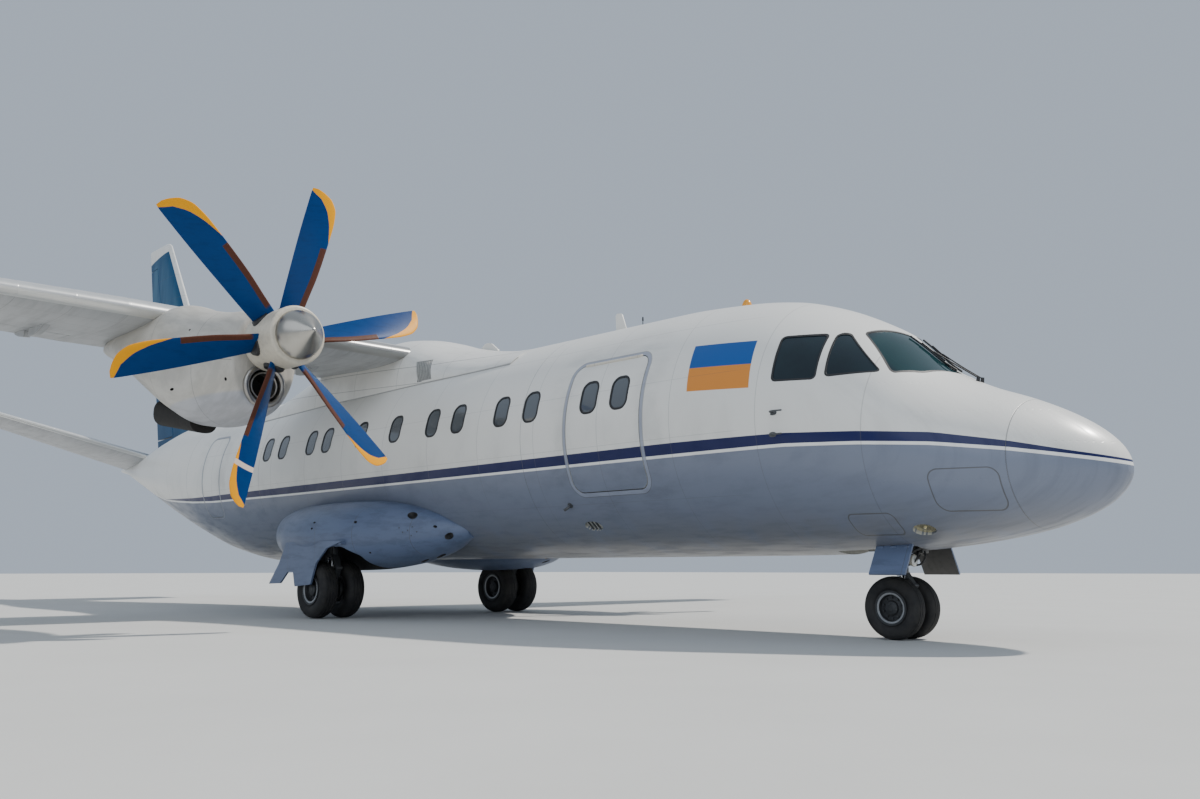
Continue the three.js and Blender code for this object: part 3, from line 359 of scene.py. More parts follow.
def combined(bm, how, *tools, solver="MANIFOLD"):
    """A closed body cut by others (DIFFERENCE), kept inside them (INTERSECT) or joined (UNION)."""
    body = as_object(bm)
    helpers = [as_object(tool) for tool in tools]
    for helper in helpers:
        cut = body.modifiers.new("cut", "BOOLEAN")
        cut.operation, cut.object, cut.solver = how, helper, solver
    result = bmesh.new()
    graph = bpy.context.evaluated_depsgraph_get()
    result.from_mesh(body.evaluated_get(graph).to_mesh())
    for spare in [body, *helpers]:
        mesh = spare.data
        bpy.data.objects.remove(spare)
        bpy.data.meshes.remove(mesh)
    return result


def merged(*bodies):
    """Several bodies as one mesh, each keeping its own shell."""
    result = bodies[0]
    for other in bodies[1:]:
        mesh = bpy.data.meshes.new("part")
        other.to_mesh(mesh)
        other.free()
        result.from_mesh(mesh)
        bpy.data.meshes.remove(mesh)
    return result


def finished(name, bm, body, *finishes, sharp=34.0, slot=None, replaces=()):
    """Makes the object, shades it smooth apart from sharp edges, and lets it ride on its body."""
    piece = as_object(bm, name)
    for finish in finishes:
        piece.data.materials.append(finish.material)
    piece.data.shade_smooth()
    piece.data.set_sharp_from_angle(angle=math.radians(sharp))
    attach(piece, body)
    if replaces:
        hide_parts(*replaces)
    return piece


def painted_where(bm, test, index):
    """Gives the faces whose centre passes the test another material slot."""
    for face in bm.faces:
        if test(face.calc_center_median()):
            face.material_index = index
    return bm


# %% [markdown]
# ## The fuselage's sections
# Each row gives the distance behind the nose tip, the half width, the top, the bottom and the
# height of the widest point. Between the rows a monotone curve keeps the surface fair, and each
# section is two half ellipses that meet at the widest point.

# %% Section tables
HALF_LENGTH = 11.3025
FUSELAGE = [
    (0.000, 0.070, 1.608, 1.494, 1.548),
    (0.030, 0.165, 1.690, 1.430, 1.550),
    (0.100, 0.300, 1.795, 1.340, 1.556),
    (0.250, 0.475, 1.935, 1.222, 1.570),
    (0.480, 0.655, 2.085, 1.115, 1.595),
    (0.780, 0.830, 2.235, 1.024, 1.630),
    (1.170, 0.990, 2.395, 0.950, 1.690),
    (1.490, 1.107, 2.573, 0.906, 1.757),
    (1.960, 1.227, 3.003, 0.862, 1.895),
    (2.160, 1.262, 3.140, 0.850, 1.950),
    (2.690, 1.340, 3.405, 0.832, 2.080),
    (3.180, 1.385, 3.560, 0.826, 2.170),
    (3.700, 1.412, 3.635, 0.824, 2.225),
    (4.600, 1.430, 3.684, 0.824, 2.254),
    (14.300, 1.430, 3.684, 0.824, 2.254),
    (15.400, 1.425, 3.684, 0.960, 2.300),
    (16.400, 1.385, 3.672, 1.230, 2.400),
    (17.400, 1.270, 3.620, 1.530, 2.510),
    (18.600, 1.050, 3.470, 1.900, 2.630),
    (19.800, 0.780, 3.280, 2.260, 2.730),
    (20.900, 0.500, 3.150, 2.560, 2.840),
    (21.800, 0.270, 3.070, 2.800, 2.930),
    (22.605, 0.070, 3.035, 2.945, 2.990),
]
RADOME_END, FRONT_END, CENTRE_END = 0.735, 6.400, 13.000
REAR_END, TAIL_END, CONE_END = 15.800, 20.600, 22.605
BARREL_RADIUS, BARREL_HEIGHT = 1.430, 2.254
FLOOR, WALL, LINING_DEPTH = 1.500, 0.090, 0.016
LEFT, RIGHT = 1, -1
SIDES = ((LEFT, "left"), (RIGHT, "right"))


def at(x, station, height):
    """A point, from its distance behind the nose tip."""
    return Vector((x, station - HALF_LENGTH, height))


def along(table, station):
    """The table's other columns at a station, on monotone curves."""
    last = len(table) - 1
    k = 0
    while k < last - 1 and station > table[k + 1][0]:
        k += 1

    def rise(j, column):
        return (table[j + 1][column] - table[j][column]) / (table[j + 1][0] - table[j][0])

    def slope(i, column):
        if i in (0, last):
            return rise(min(i, last - 1), column)
        before, after = rise(i - 1, column), rise(i, column)
        return 2 * before * after / (before + after) if before * after > 0 else 0.0

    width = table[k + 1][0] - table[k][0]
    t = (station - table[k][0]) / width
    values = []
    for column in range(1, len(table[0])):
        a, b = table[k][column], table[k + 1][column]
        values.append(
            a * (2 * t**3 - 3 * t**2 + 1) + slope(k, column) * width * (t**3 - 2 * t**2 + t)
            + b * (3 * t**2 - 2 * t**3) + slope(k + 1, column) * width * (t**3 - t**2)
        )
    return values


def rounded(turn, half_width, half_height, roundness=2.0):
    """A point of a rounded section: 2 is an ellipse, more is squarer. The turn starts at the top."""
    angle = turn * math.tau
    sine, cosine = math.sin(angle), math.cos(angle)
    power = 2 / roundness
    return (
        half_width * math.copysign(abs(sine) ** power, sine),
        half_height * math.copysign(abs(cosine) ** power, cosine),
    )


SECTIONS = {}


def fuselage_point(station, turn, grow):
    """A point of the skin; the sections are kept, because many points share one."""
    if station not in SECTIONS:
        SECTIONS[station] = along(FUSELAGE, station)
    half_width, top, bottom, waist = SECTIONS[station]
    upper = math.cos(turn * math.tau) > 0
    half_height = (top - waist if upper else waist - bottom) + grow
    x, z = rounded(turn, half_width + grow, half_height)
    return at(x, station, waist + z)


def skin(start, end, steps, grow=0.0, around=128, fine_start=1.0):
    """A closed length of fuselage; fine_start above 1 crowds the sections at its start."""
    return wrapped(
        around, steps,
        lambda turn, run: fuselage_point(start + (end - start) * run**fine_start, turn, grow),
    )


print("fuselage sections", len(FUSELAGE), "rows")

# %% [markdown]
# ## The airliner's paint
# The livery is a map in space: white above, a blue line with a white edge that dips towards the
# nose, and grey-blue below. One material reads a point's place and works out every border, so the
# doors and skins match wherever they are cut. Panel seams, frames and rain streaks break it up.

# %% Livery colours
WHITE = (0.80, 0.79, 0.75)
LINE_WHITE = (0.86, 0.86, 0.84)
STRIPE_BLUE = (0.0005, 0.006, 0.075)
BELLY_GREY = (0.185, 0.212, 0.280)
BAND_GREY = (0.300, 0.330, 0.420)
PANEL_BLUE = (0.002, 0.085, 0.330)
PANEL_YELLOW = (0.680, 0.250, 0.040)
# the painted panel behind the cockpit: its ends, and the foot, border and top of its two bands
PANEL_ENDS, PANEL_LEVELS = (3.068, 3.825), (2.475, 2.730, 2.990)
SEAM_DARK = (0.09, 0.09, 0.09)
LINE_WIDTH, PLOT_REACH = 0.030, 22.61
STRIPE_CENTRE = [
    (0.000, 1.606), (0.130, 1.632), (0.315, 1.666), (0.730, 1.748), (1.290, 1.835), (1.930, 1.882),
    (2.670, 1.917), (4.000, 1.922), (13.50, 1.905), (14.80, 1.903), (15.60, 1.920), (16.50, 1.966),
    (17.40, 2.025), (18.60, 2.200), (20.00, 2.520), (21.50, 2.820), (22.60, 2.960),
]
STRIPE_HALF = [
    (0.000, 0.010), (0.315, 0.015), (0.730, 0.028), (1.290, 0.043), (2.670, 0.050), (4.000, 0.0575),
    (12.00, 0.054), (14.50, 0.045), (15.40, 0.034), (16.50, 0.017), (17.40, 0.001), (22.60, 0.001),
]
CARGO_DOOR = {"side": RIGHT, "from": 4.455, "to": 5.600, "low": 1.545, "high": 3.010, "corner": 0.130}
AIRSTAIR = {"side": LEFT, "from": 13.540, "to": 14.300, "low": 1.545, "high": 3.030, "corner": 0.120}
SERVICE_DOOR = {"side": RIGHT, "from": 14.450, "to": 15.090, "low": 1.580, "high": 2.970, "corner": 0.120}
NOSE_HATCH = {"side": 0, "from": 0.800, "to": 1.360, "low": 1.190, "high": 1.550, "corner": 0.090}
LEG_HATCH = {"side": 0, "from": 1.800, "to": 2.260, "low": 1.000, "high": 1.190, "corner": 0.060}


def plotted(paint, station, stops, unit):
    """A height along the fuselage from (station, height) stops, scaled to the curve's 0 to 1."""
    levels = [(place / PLOT_REACH, level / unit) for place, level in stops]
    return paint.curve(station / PLOT_REACH, levels) * unit


def outline_distance(paint, station, door):
    """Distance outside a door's rounded outline, negative inside it."""
    middle = ((door["from"] + door["to"]) / 2, (door["low"] + door["high"]) / 2)
    half = ((door["to"] - door["from"]) / 2 - door["corner"], (door["high"] - door["low"]) / 2 - door["corner"])
    over = abs(station - middle[0]) - half[0]
    up = abs(paint.z - middle[1]) - half[1]
    far = (over.most(0.0) ** 2.0 + up.most(0.0) ** 2.0) ** 0.5
    return far + over.most(up).least(0.0) - door["corner"]


def livery(name):
    paint = Finish(name)
    station = paint.y + HALF_LENGTH
    centre = plotted(paint, station, STRIPE_CENTRE, 3.0)
    half = plotted(paint, station, STRIPE_HALF, 0.1)
    wander = paint.noise(1.1, 4.0, 0.6)
    grime = paint.noise(2.2, 6.0, 0.62, (6.0, 1.0, 0.35))

    colour = paint.mix(wander, WHITE, dimmed(WHITE, 0.93))
    colour = paint.mix(paint.z.below(centre - half - LINE_WIDTH, 0.002), colour, BELLY_GREY)
    colour = paint.mix(paint.z.between(centre - half - LINE_WIDTH, centre - half, 0.002), colour, LINE_WHITE)
    colour = paint.mix(paint.z.between(centre - half, centre + half, 0.002), colour, STRIPE_BLUE)

    foot, border, top = PANEL_LEVELS
    slant = station - (paint.z - border) * 0.08
    level = paint.z - (station - 3.45) * 0.06
    panel = slant.between(*PANEL_ENDS, 0.003) * level.between(foot, top, 0.003)
    colour = paint.mix(panel, colour, paint.mix(level.above(border, 0.003), PANEL_YELLOW, PANEL_BLUE))

    seams = station.lines(1.07, 0.004, 0.25) * station.above(1.0) * 0.55
    for door, side in ((CARGO_DOOR, paint.x.below(0.0)), (AIRSTAIR, paint.x.above(0.0)),
                       (SERVICE_DOOR, paint.x.below(0.0))):
        reach = outline_distance(paint, station, door)
        width = 0.052 if door is CARGO_DOOR else 0.030
        colour = paint.mix(reach.between(0.008, width, 0.002) * side * 0.85, colour, BAND_GREY)
        rim = reach.between(0.003, 0.010, 0.002).most(reach.between(width, width + 0.007, 0.002))
        colour = paint.mix(rim * side * 0.6, colour, SEAM_DARK)
        colour = paint.tint(colour, reach.between(-0.10, 0.30, 0.12) * side * grime.above(0.5, 0.2) * 0.6, 0.80)
    for hatch in (NOSE_HATCH, LEG_HATCH):
        joint = outline_distance(paint, station, hatch).between(-0.005, 0.005, 0.002)
        seams = seams.most(joint)
        colour = paint.mix(joint * 0.55, colour, SEAM_DARK)
    for frame_place in (RADOME_END, FRONT_END, CENTRE_END, REAR_END, TAIL_END):
        seams = seams.most(station.between(frame_place - 0.004, frame_place + 0.004, 0.002))
    across = (paint.z - BARREL_HEIGHT).lines(0.62, 0.003, 0.22) * station.between(3.2, 15.2, 0.1)
    seams = seams.most(across * 0.4)
    colour = paint.mix(seams * 0.55, colour, SEAM_DARK)
    streaks = grime.above(0.56, 0.14) * paint.z.below(2.3, 0.5)
    colour = paint.tint(colour, streaks * 0.5, 0.80)
    under = paint.z.below(1.15, 0.25) * paint.noise(3.0, 5.0).above(0.42, 0.16)
    colour = paint.mix(under * 0.35, colour, (0.20, 0.18, 0.14))

    paint.put("Base Color", colour)
    paint.put("Roughness", 0.24 + wander * 0.12 + streaks * 0.2)
    rivets = station.lines(0.045, 0.006) * paint.z.lines(0.31, 0.006, 0.1)
    waves = paint.noise(2.4, 2.0, 0.4) * 0.35
    paint.bump(waves - seams - rivets * 0.5, 0.004, 0.45)
    return paint.fixed(Coat_Weight=0.05, Coat_Roughness=0.15, Specular_IOR_Level=0.4)


# %% Make the livery
airliner_paint = livery("airliner_paint")
print("paint", airliner_paint.material.name, len(airliner_paint.tree.nodes), "nodes")

# %% [markdown]
# ## Plain finishes
# Paint on a wing, bare metal, rubber and glass share one recipe: a colour that wanders a little,
# dirt that gathers low down or along seams, and a bump at the scale of the real surface. Each gets
# its own numbers, because polished metal and soot differ mostly in roughness.

# %% Paints, metals, rubber and glass


def coat(name, colour, roughness, dirt, metallic=0.0, grain=18.0, panel=None):
    """A painted or metal surface with soft colour changes, dirt and panel seams."""
    paint = Finish(name, metallic=metallic)
    wander = paint.noise(1.7, 4.0, 0.6)
    fine = paint.noise(grain, 5.0, 0.65)
    tone = paint.mix(wander, colour, dimmed(colour, 0.86))
    worn = paint.tint(tone, fine.above(0.56, 0.12) * dirt, 0.62)
    height = fine * 0.25 + wander * 0.3
    if panel is not None:
        station = paint.y + HALF_LENGTH
        seams = station.lines(panel[0], 0.0025, 0.11).most(paint.x.lines(panel[1], 0.0025, 0.07))
        worn = paint.mix(seams * 0.5, worn, SEAM_DARK)
        height = height - seams
    paint.put("Base Color", worn)
    paint.put("Roughness", wander * 0.12 + fine * 0.12 + (roughness - 0.12))
    paint.bump(height, 0.002, 0.4)
    return paint


cream_paint = coat("cream_paint", (0.70, 0.66, 0.57), 0.38, 0.25, panel=(0.68, 0.47))
inner_lining = coat("inner_lining", (0.52, 0.52, 0.48), 0.6, 0.3, panel=(0.55, 0.6))
gear_grey = coat("gear_grey", (0.10, 0.105, 0.11), 0.42, 0.6, metallic=0.3, grain=30.0)
grille_grey = coat("grille_grey", (0.42, 0.42, 0.40), 0.45, 0.5)
bright_metal = coat("bright_metal", (0.72, 0.73, 0.74), 0.22, 0.15, metallic=1.0, grain=9.0)
# dark metal for fittings and treads; also painted into pockets, wheel wells and door insides as painted shade
dark_metal_and_shade = coat("dark_metal_and_shade", (0.12, 0.12, 0.12), 0.45, 0.4, metallic=0.7)
black_trim = coat("black_trim", (0.018, 0.018, 0.02), 0.5, 0.2)
hub_cream = coat("hub_cream", (0.62, 0.57, 0.47), 0.4, 0.35)


def glass(name, colour, roughness, coat_weight=1.0):
    pane = Finish(name, roughness)
    wander = pane.noise(1.3, 2.0, 0.5)
    pane.put("Base Color", pane.mix(wander, colour, dimmed(colour, 0.6)))
    pane.put("Roughness", wander * 0.05 + roughness)
    pane.bump(wander, 0.003, 0.12)
    return pane.fixed(Coat_Weight=coat_weight, Coat_Roughness=0.02, IOR=1.52, Specular_IOR_Level=0.6)


cockpit_glass = glass("cockpit_glass", (0.012, 0.022, 0.030), 0.05, 0.1)
cockpit_glass.fixed(Specular_IOR_Level=0.35)
ahead = (cockpit_glass.y + HALF_LENGTH).below(2.08, 0.05) * abs(cockpit_glass.x).below(0.80, 0.05)
dim = cockpit_glass.noise(2.2, 3.0, 0.5)
cockpit_glass.put("Base Color", cockpit_glass.mix(
    ahead, cockpit_glass.mix(dim, (0.005, 0.009, 0.013), (0.012, 0.030, 0.040)),
    cockpit_glass.mix(dim, (0.003, 0.020, 0.024), (0.010, 0.050, 0.056)),
))
cabin_glass = glass("cabin_glass", (0.085, 0.10, 0.115), 0.12)
print("finishes", len(bpy.data.materials))

# %% [markdown]
# ## Fuselage skins and what is cut out of them
# The fuselage is built in lengths that join at frames. The forward length carries the cargo bay,
# its doorway, the pockets for the cockpit panes and the nose gear bay; the rear length holds the
# cabin behind the doors. Each cut is a rounded block or a smaller copy of the skin itself.

# %% Door and window blocks


def station_block(side, first, last, low, high, corner, inside=1.030, outside=1.530, segments=6):
    """A rounded block across one wall, between two stations and two heights."""
    x = sorted((side * inside, side * outside))
    return block(at(x[0], first, low), at(x[1], last, high), corner, 0, segments)


def oval_plug(point, outward, half_along, half_across, inside, outside):
    """A short oval rod through a surface, long way along the aircraft."""
    outward = Vector(outward).normalized()
    lengthways = (Vector((0, 1, 0)) - outward * outward.y).normalized()
    across = lengthways.cross(outward)
    bm = bmesh.new()
    bmesh.ops.create_cone(bm, cap_ends=True, segments=36, radius1=1, radius2=1, depth=inside + outside)
    bmesh.ops.scale(bm, vec=(half_across, half_along, 1), verts=bm.verts)
    turn = Matrix((across, lengthways, outward)).transposed().to_4x4()
    place = Matrix.Translation(Vector(point) + outward * (outside - inside) / 2)
    bmesh.ops.transform(bm, matrix=place @ turn, verts=bm.verts)
    return bm


def off_skin(x, station, height):
    """A point on the fuselage and the way out of it there."""
    half_width, top, bottom, waist = along(FUSELAGE, station)
    half_height = top - waist if height > waist else waist - bottom
    outward = Vector((x / half_width**2, 0, (height - waist) / half_height**2)).normalized()
    reach = math.hypot(x / half_width, (height - waist) / half_height)
    point = at(x / reach, station, waist + (height - waist) / reach)
    return point, outward


def door_block(door, grow):
    return station_block(
        door["side"], door["from"] - grow, door["to"] + grow, door["low"] - grow, door["high"] + grow,
        door["corner"] + grow, segments=10,
    )


def inner_room(first, last, floor, start, end):
    """The hollow behind the wall between two stations, above the floor."""
    shell = skin(start, end, 60, -WALL)
    room = block(at(-1.5, first, floor), at(1.5, last, 4.0))
    return combined(shell, "INTERSECT", room)


def depth_below_skin(point):
    """Distance of a point inside the outer surface, in metres."""
    half_width, top, bottom, waist = along(FUSELAGE, point.y + HALF_LENGTH)
    half_height = top - waist if point.z > waist else waist - bottom
    reach = math.hypot(point.x / half_width, (point.z - waist) / half_height)
    return (1 - reach) * min(half_width, half_height)


def cockpit_skin(grow):
    return skin(RADOME_END, FRONT_END, 90, grow)


def lined_skin(name, bm, replaced, body="airframe"):
    """A painted length of fuselage, or a door, whose faces well inside the skin are lined."""
    lined = painted_where(bm, lambda centre: depth_below_skin(centre) > LINING_DEPTH, 1)
    finished(name, lined, body, airliner_paint, inner_lining, slot="white_paint", replaces=[replaced])


SIDE_PANE = [(2.368, 2.472), (2.403, 2.967), (2.832, 2.976), (2.807, 2.493)]
QUARTER_PANE = [(1.822, 2.508), (2.245, 2.972), (2.339, 2.965), (2.284, 2.490)]
FRONT_PANE = [(0.045, 1.440), (0.045, 1.965), (0.631, 2.146), (0.864, 1.746), (0.586, 1.565)]


def moved_apart(points, distance):
    middle = [sum(point[i] for point in points) / len(points) for i in (0, 1)]
    apart = []
    for u, v in points:
        grow = 1 + distance / math.hypot(u - middle[0], v - middle[1])
        apart.append((middle[0] + (u - middle[0]) * grow, middle[1] + (v - middle[1]) * grow))
    return apart


def pane_prisms(grow, corner):
    """The six cockpit panes as tall rounded prisms, grown past their corners."""
    prisms = []
    for side in (LEFT, RIGHT):
        for outline in (SIDE_PANE, QUARTER_PANE):
            points = [at(side * 0.45, station, z) for station, z in moved_apart(outline, grow)]
            prisms.append(pushed(points, (side * 1.1, 0, 0), corner))
        points = [at(side * x, station, 2.2) for x, station in moved_apart(FRONT_PANE, grow)]
        prisms.append(pushed(points, (0, 0, 1.4), corner))
    return prisms


# %% [markdown]
# ## Cabin windows
# A cabin window is an oval of acrylic in a black rubber seal, set flush in the skin. A shallow
# pocket is cut with a rounded block whose floor is the skin moved inwards, so that it keeps the
# curve of the fuselage. The seal and the pane are cut from the same block, a little smaller. Two
# oval pockets in the forward skin hold a lamp and an air outlet.

# %% Window places and cutters
WINDOW_HEIGHT, WINDOW_HALF, WINDOW_TALL, WINDOW_CORNER = 2.605, 0.138, 0.195, 0.112
CABIN_WINDOWS = [6.255, 6.811, 7.688, 8.252, 9.118, 10.000, 10.936, 11.406, 12.277, 12.780]
CARGO_WINDOWS = [4.779, 5.256]
WINDOW_PLACES = [(side, station) for side in (LEFT, RIGHT) for station in CABIN_WINDOWS]
WINDOW_PLACES += [(LEFT, station) for station in CARGO_WINDOWS]
# the lengths of skin that the windows ahead of and behind the front frame are cut with
FRONT_SPAN, MIDDLE_SPAN = (4.0, 6.6), (6.0, 13.4)


def window_blocks(places, grow, inside=1.30):
    """Rounded blocks through the wall at the windows, as one mesh of separate shells."""
    return merged(*[
        station_block(
            side, station - WINDOW_HALF - grow, station + WINDOW_HALF + grow,
            WINDOW_HEIGHT - WINDOW_TALL - grow, WINDOW_HEIGHT + WINDOW_TALL + grow,
            WINDOW_CORNER + grow, inside, 1.50 + 1.30 - inside, 8,
        )
        for side, station in places
    ])


def window_pockets(places, span):
    return combined(window_blocks(places, 0.002), "DIFFERENCE", skin(*span, 6, -0.014))


def window_set(name, places, body, span):
    """Black seals and smoked panes in their pockets."""
    seal = combined(
        window_blocks(places, 0.0), "DIFFERENCE", window_blocks(places, -0.024, 1.25),
        skin(*span, 6, -0.013),
    )
    seal = combined(seal, "INTERSECT", skin(*span, 6, 0.0015))
    pane = combined(window_blocks(places, -0.022), "DIFFERENCE", skin(*span, 6, -0.0125))
    pane = combined(pane, "INTERSECT", skin(*span, 6, -0.005))
    finished(f"{name}_seals", seal, body, black_trim, slot="tyre_rubber")
    finished(f"{name}_panes", pane, body, cabin_glass, slot="glazing")


front_windows = [(side, station) for side, station in WINDOW_PLACES if station < FRONT_END]
middle_windows = [(side, station) for side, station in WINDOW_PLACES if station > FRONT_END]
LAMP_PLACE, OUTLET_PLACE = (-0.620, 1.620, 1.036), (-0.935, 5.630, 1.175)
small_pockets = [
    oval_plug(*off_skin(*LAMP_PLACE), 0.108, 0.100, 0.040, 0.06),
    oval_plug(*off_skin(*OUTLET_PLACE), 0.140, 0.080, 0.040, 0.06),
]
print("windows", len(WINDOW_PLACES) + len(CARGO_WINDOWS))

# %% Nose cone, front, middle, rear and tail
GAP = 0.0003
radome_skin = skin(0.0, RADOME_END, 44, fine_start=2.0)
finished("nose_cone", radome_skin, "airframe", airliner_paint, slot="white_paint", replaces=["radome"])

pane_pockets = [
    combined(prism, "DIFFERENCE", cockpit_skin(-0.058))
    for prism in pane_prisms(0.012, 0.05)
]
front_skin = combined(
    skin(RADOME_END + GAP, FRONT_END, 120, fine_start=1.2), "DIFFERENCE",
    inner_room(4.150, 6.300, FLOOR, 3.9, 6.45), door_block(CARGO_DOOR, 0.010), *pane_pockets,
    block(at(-0.30, 1.88, 0.0), at(0.30, 2.76, 1.2), 0.02),
    window_pockets(front_windows, FRONT_SPAN), *small_pockets,
)
lined_skin("front_skin", front_skin, "fuselage_front")
middle_skin = combined(
    skin(FRONT_END + GAP, CENTRE_END, 12), "DIFFERENCE", window_pockets(middle_windows, MIDDLE_SPAN),
)
finished(
    "middle_skin", middle_skin, "airframe", airliner_paint, slot="white_paint", replaces=["fuselage_centre"],
)
rear_room = inner_room(13.100, 18.600, FLOOR, 12.9, 20.0)
rear_skin = combined(
    skin(CENTRE_END + GAP, REAR_END, 40), "DIFFERENCE", rear_room.copy(), door_block(AIRSTAIR, 0.010),
    door_block(SERVICE_DOOR, 0.006),
)
lined_skin("rear_skin", rear_skin, "fuselage_rear")
tail_skin = combined(skin(REAR_END + GAP, TAIL_END, 60), "DIFFERENCE", rear_room)
lined_skin("tail_skin", tail_skin, "fuselage_tail")
cone_skin = skin(TAIL_END + GAP, CONE_END, 40)
finished("cone_skin", cone_skin, "airframe", airliner_paint, slot="white_paint", replaces=["tail_cone"])
window_set("front_window", front_windows, "airframe", FRONT_SPAN)
window_set("middle_window", middle_windows, "airframe", MIDDLE_SPAN)
print("fuselage done")

# %% [markdown]
# ## Cockpit panes
# The panes lie a finger's breadth inside the skin with a black seal round each. They follow the
# fuselage, so the pane is the same rounded prism, cut to the skin moved inwards.

# %% Panes and seals
pane_set = []
seal_set = []
for wide, narrow in zip(pane_prisms(0.008, 0.047), pane_prisms(-0.016, 0.036)):
    inner = cockpit_skin(-0.034)
    pane = combined(narrow.copy(), "DIFFERENCE", inner.copy())
    pane_set.append(combined(pane, "INTERSECT", cockpit_skin(-0.009)))
    seal = combined(wide, "DIFFERENCE", inner, narrow)
    seal_set.append(combined(seal, "INTERSECT", cockpit_skin(-0.002)))
finished(
    "cockpit_panes", merged(*pane_set), "airframe", cockpit_glass, slot="glazing", replaces=["cockpit_glazing"],
)
finished("cockpit_seals", merged(*seal_set), "airframe", black_trim, slot="tyre_rubber")
print("cockpit panes", len(pane_set))

# %% [markdown]
# ## Doors
# Each door is the piece of skin inside its outline, with a lining on the inside. The cargo door
# hangs from barrels along its top edge, the airstair from barrels along its foot, with its treads
# fixed to the inner face so that they become steps when it folds down.

# %% Door panels
DOOR_THICKNESS, TREAD_COUNT = 0.070, 5
DOOR_SPAN = (3.9, 15.7)


def skin_x(height):
    return math.sqrt(BARREL_RADIUS**2 - (height - BARREL_HEIGHT) ** 2)


def door_panel(door):
    panel = combined(door_block(door, 0.0), "INTERSECT", skin(*DOOR_SPAN, 90))
    return combined(panel, "DIFFERENCE", skin(*DOOR_SPAN, 90, -DOOR_THICKNESS))


def hinge_barrels(name, door, height, body):
    """Five barrels along a door's edge: the door has every second one, the frame the others."""
    length = (door["to"] - door["from"] - 2 * door["corner"]) / 5
    x = door["side"] * skin_x(height)
    for part, first, owner in (("barrels", 1, body), ("frame_barrels", 0, "airframe")):
        rods = []
        for i in range(first, 5, 2):
            start = door["from"] + door["corner"] + i * length - HALF_LENGTH
            ends = (x, start + 0.001, height), (x, start + length - 0.001, height)
            rods.append(rod(*ends, 0.018, bevel=0.004))
        finished(f"{name}_{part}", merged(*rods), owner, cream_paint, slot="white_paint")


door_windows = [(RIGHT, station) for station in CARGO_WINDOWS]
cargo_panel = combined(
    door_panel(CARGO_DOOR), "DIFFERENCE", window_pockets(door_windows, FRONT_SPAN),
)
lined_skin("cargo_panel", cargo_panel, "cargo_door", "cargo_door")
hinge_barrels("cargo", CARGO_DOOR, CARGO_DOOR["high"] + 0.005, "cargo_door")
window_set("cargo_window", door_windows, "cargo_door", FRONT_SPAN)

lined_skin("airstair_panel", door_panel(AIRSTAIR), "airstair_door", "airstair_door")
hinge_barrels("airstair", AIRSTAIR, AIRSTAIR["low"] - 0.005, "airstair_door")
middle = (AIRSTAIR["from"] + AIRSTAIR["to"]) / 2 - HALF_LENGTH
treads = []
for i in range(1, TREAD_COUNT + 1):
    height = AIRSTAIR["low"] + i * (AIRSTAIR["high"] - AIRSTAIR["low"]) / (TREAD_COUNT + 1)
    wall = skin_x(height) - DOOR_THICKNESS
    low, high = (wall - 0.200, middle - 0.280, height), (wall + 0.010, middle + 0.280, height + 0.030)
    treads.append(block(low, high, 0.006))
finished("airstair_treads", merged(*treads), "airstair_door", dark_metal_and_shade, slot="white_paint")
lined_skin("service_panel", door_panel(SERVICE_DOOR), "service_door")
print("doors done")

# %% [markdown]
# ## Wing sections
# A wing is drawn by its section, here a classic four-digit curve: a thickness that swells from a
# round nose to a thin tail, laid on a slightly arched line. The grid helper bends round it, with its
# columns crowded at the nose and the tail, where the surface turns fastest.

# %% Section and wing helpers
WING = {"edge": 9.650, "height": 3.840, "chord": 2.450, "thick": 0.145, "camber": 0.020, "drop": 0.060}
WING_TIP = {"edge": 10.120, "height": 3.900, "chord": 1.060, "thick": 0.120, "camber": 0.015, "drop": 0.030}
WING_JOINT, WING_END, TIP_LENGTH = 4.900, 12.2525, 0.240
TIP_ROUND = [(0.0, 1.0, 1.0), (0.35, 0.975, 0.95), (0.55, 0.93, 0.85), (0.85, 0.80, 0.60), (1.0, 0.62, 0.30)]
TAIL_ROOT = {"edge": 19.500, "chord": 2.450, "thick": 0.100, "height": 2.955}
TAIL_TIP = {"edge": 20.650, "chord": 1.350, "thick": 0.090, "height": 4.065}
FIN_ROOT = {"edge": 16.970, "chord": 3.600, "thick": 0.100, "height": 2.900}
FIN_TIP = {"edge": 20.700, "chord": 1.200, "thick": 0.100, "height": 8.172}
END_GAP = 0.008


def blended(root, tip, part):
    return {key: root[key] + (tip[key] - root[key]) * part for key in root}


def foil(fraction, thick, camber=0.0):
    """Half thickness and height of the middle line, as parts of the chord."""
    half = 5 * thick * (
        0.2969 * math.sqrt(fraction) - 0.126 * fraction - 0.3516 * fraction**2
        + 0.2843 * fraction**3 - 0.1015 * fraction**4
    )
    if fraction < 0.4:
        return half, camber / 0.16 * (0.8 * fraction - fraction**2)
    return half, camber / 0.36 * (0.2 + 0.8 * fraction - fraction**2)


def section_point(section, turn, grow, shrink, squash, pivot=0.75):
    """Distance behind the leading edge and height above the chord line."""
    fraction = (1 - math.cos(turn * math.tau)) / 2
    half, line = foil(fraction, section["thick"], section.get("camber", 0.0))
    side = math.copysign(1.0, math.sin(turn * math.tau)) if 0 < turn % 0.5 else 0.0
    chord = section["chord"] * shrink
    distance = section["chord"] * (1 - shrink) * pivot + chord * fraction - grow * math.cos(turn * math.tau)
    offset = chord * (line + side * half * squash) - section.get("drop", 0.0) * fraction + side * grow
    return distance, offset


def wing_section(x):
    part = max(0.0, (abs(x) - WING_JOINT) / (WING_END - WING_JOINT))
    return blended(WING, WING_TIP, part)


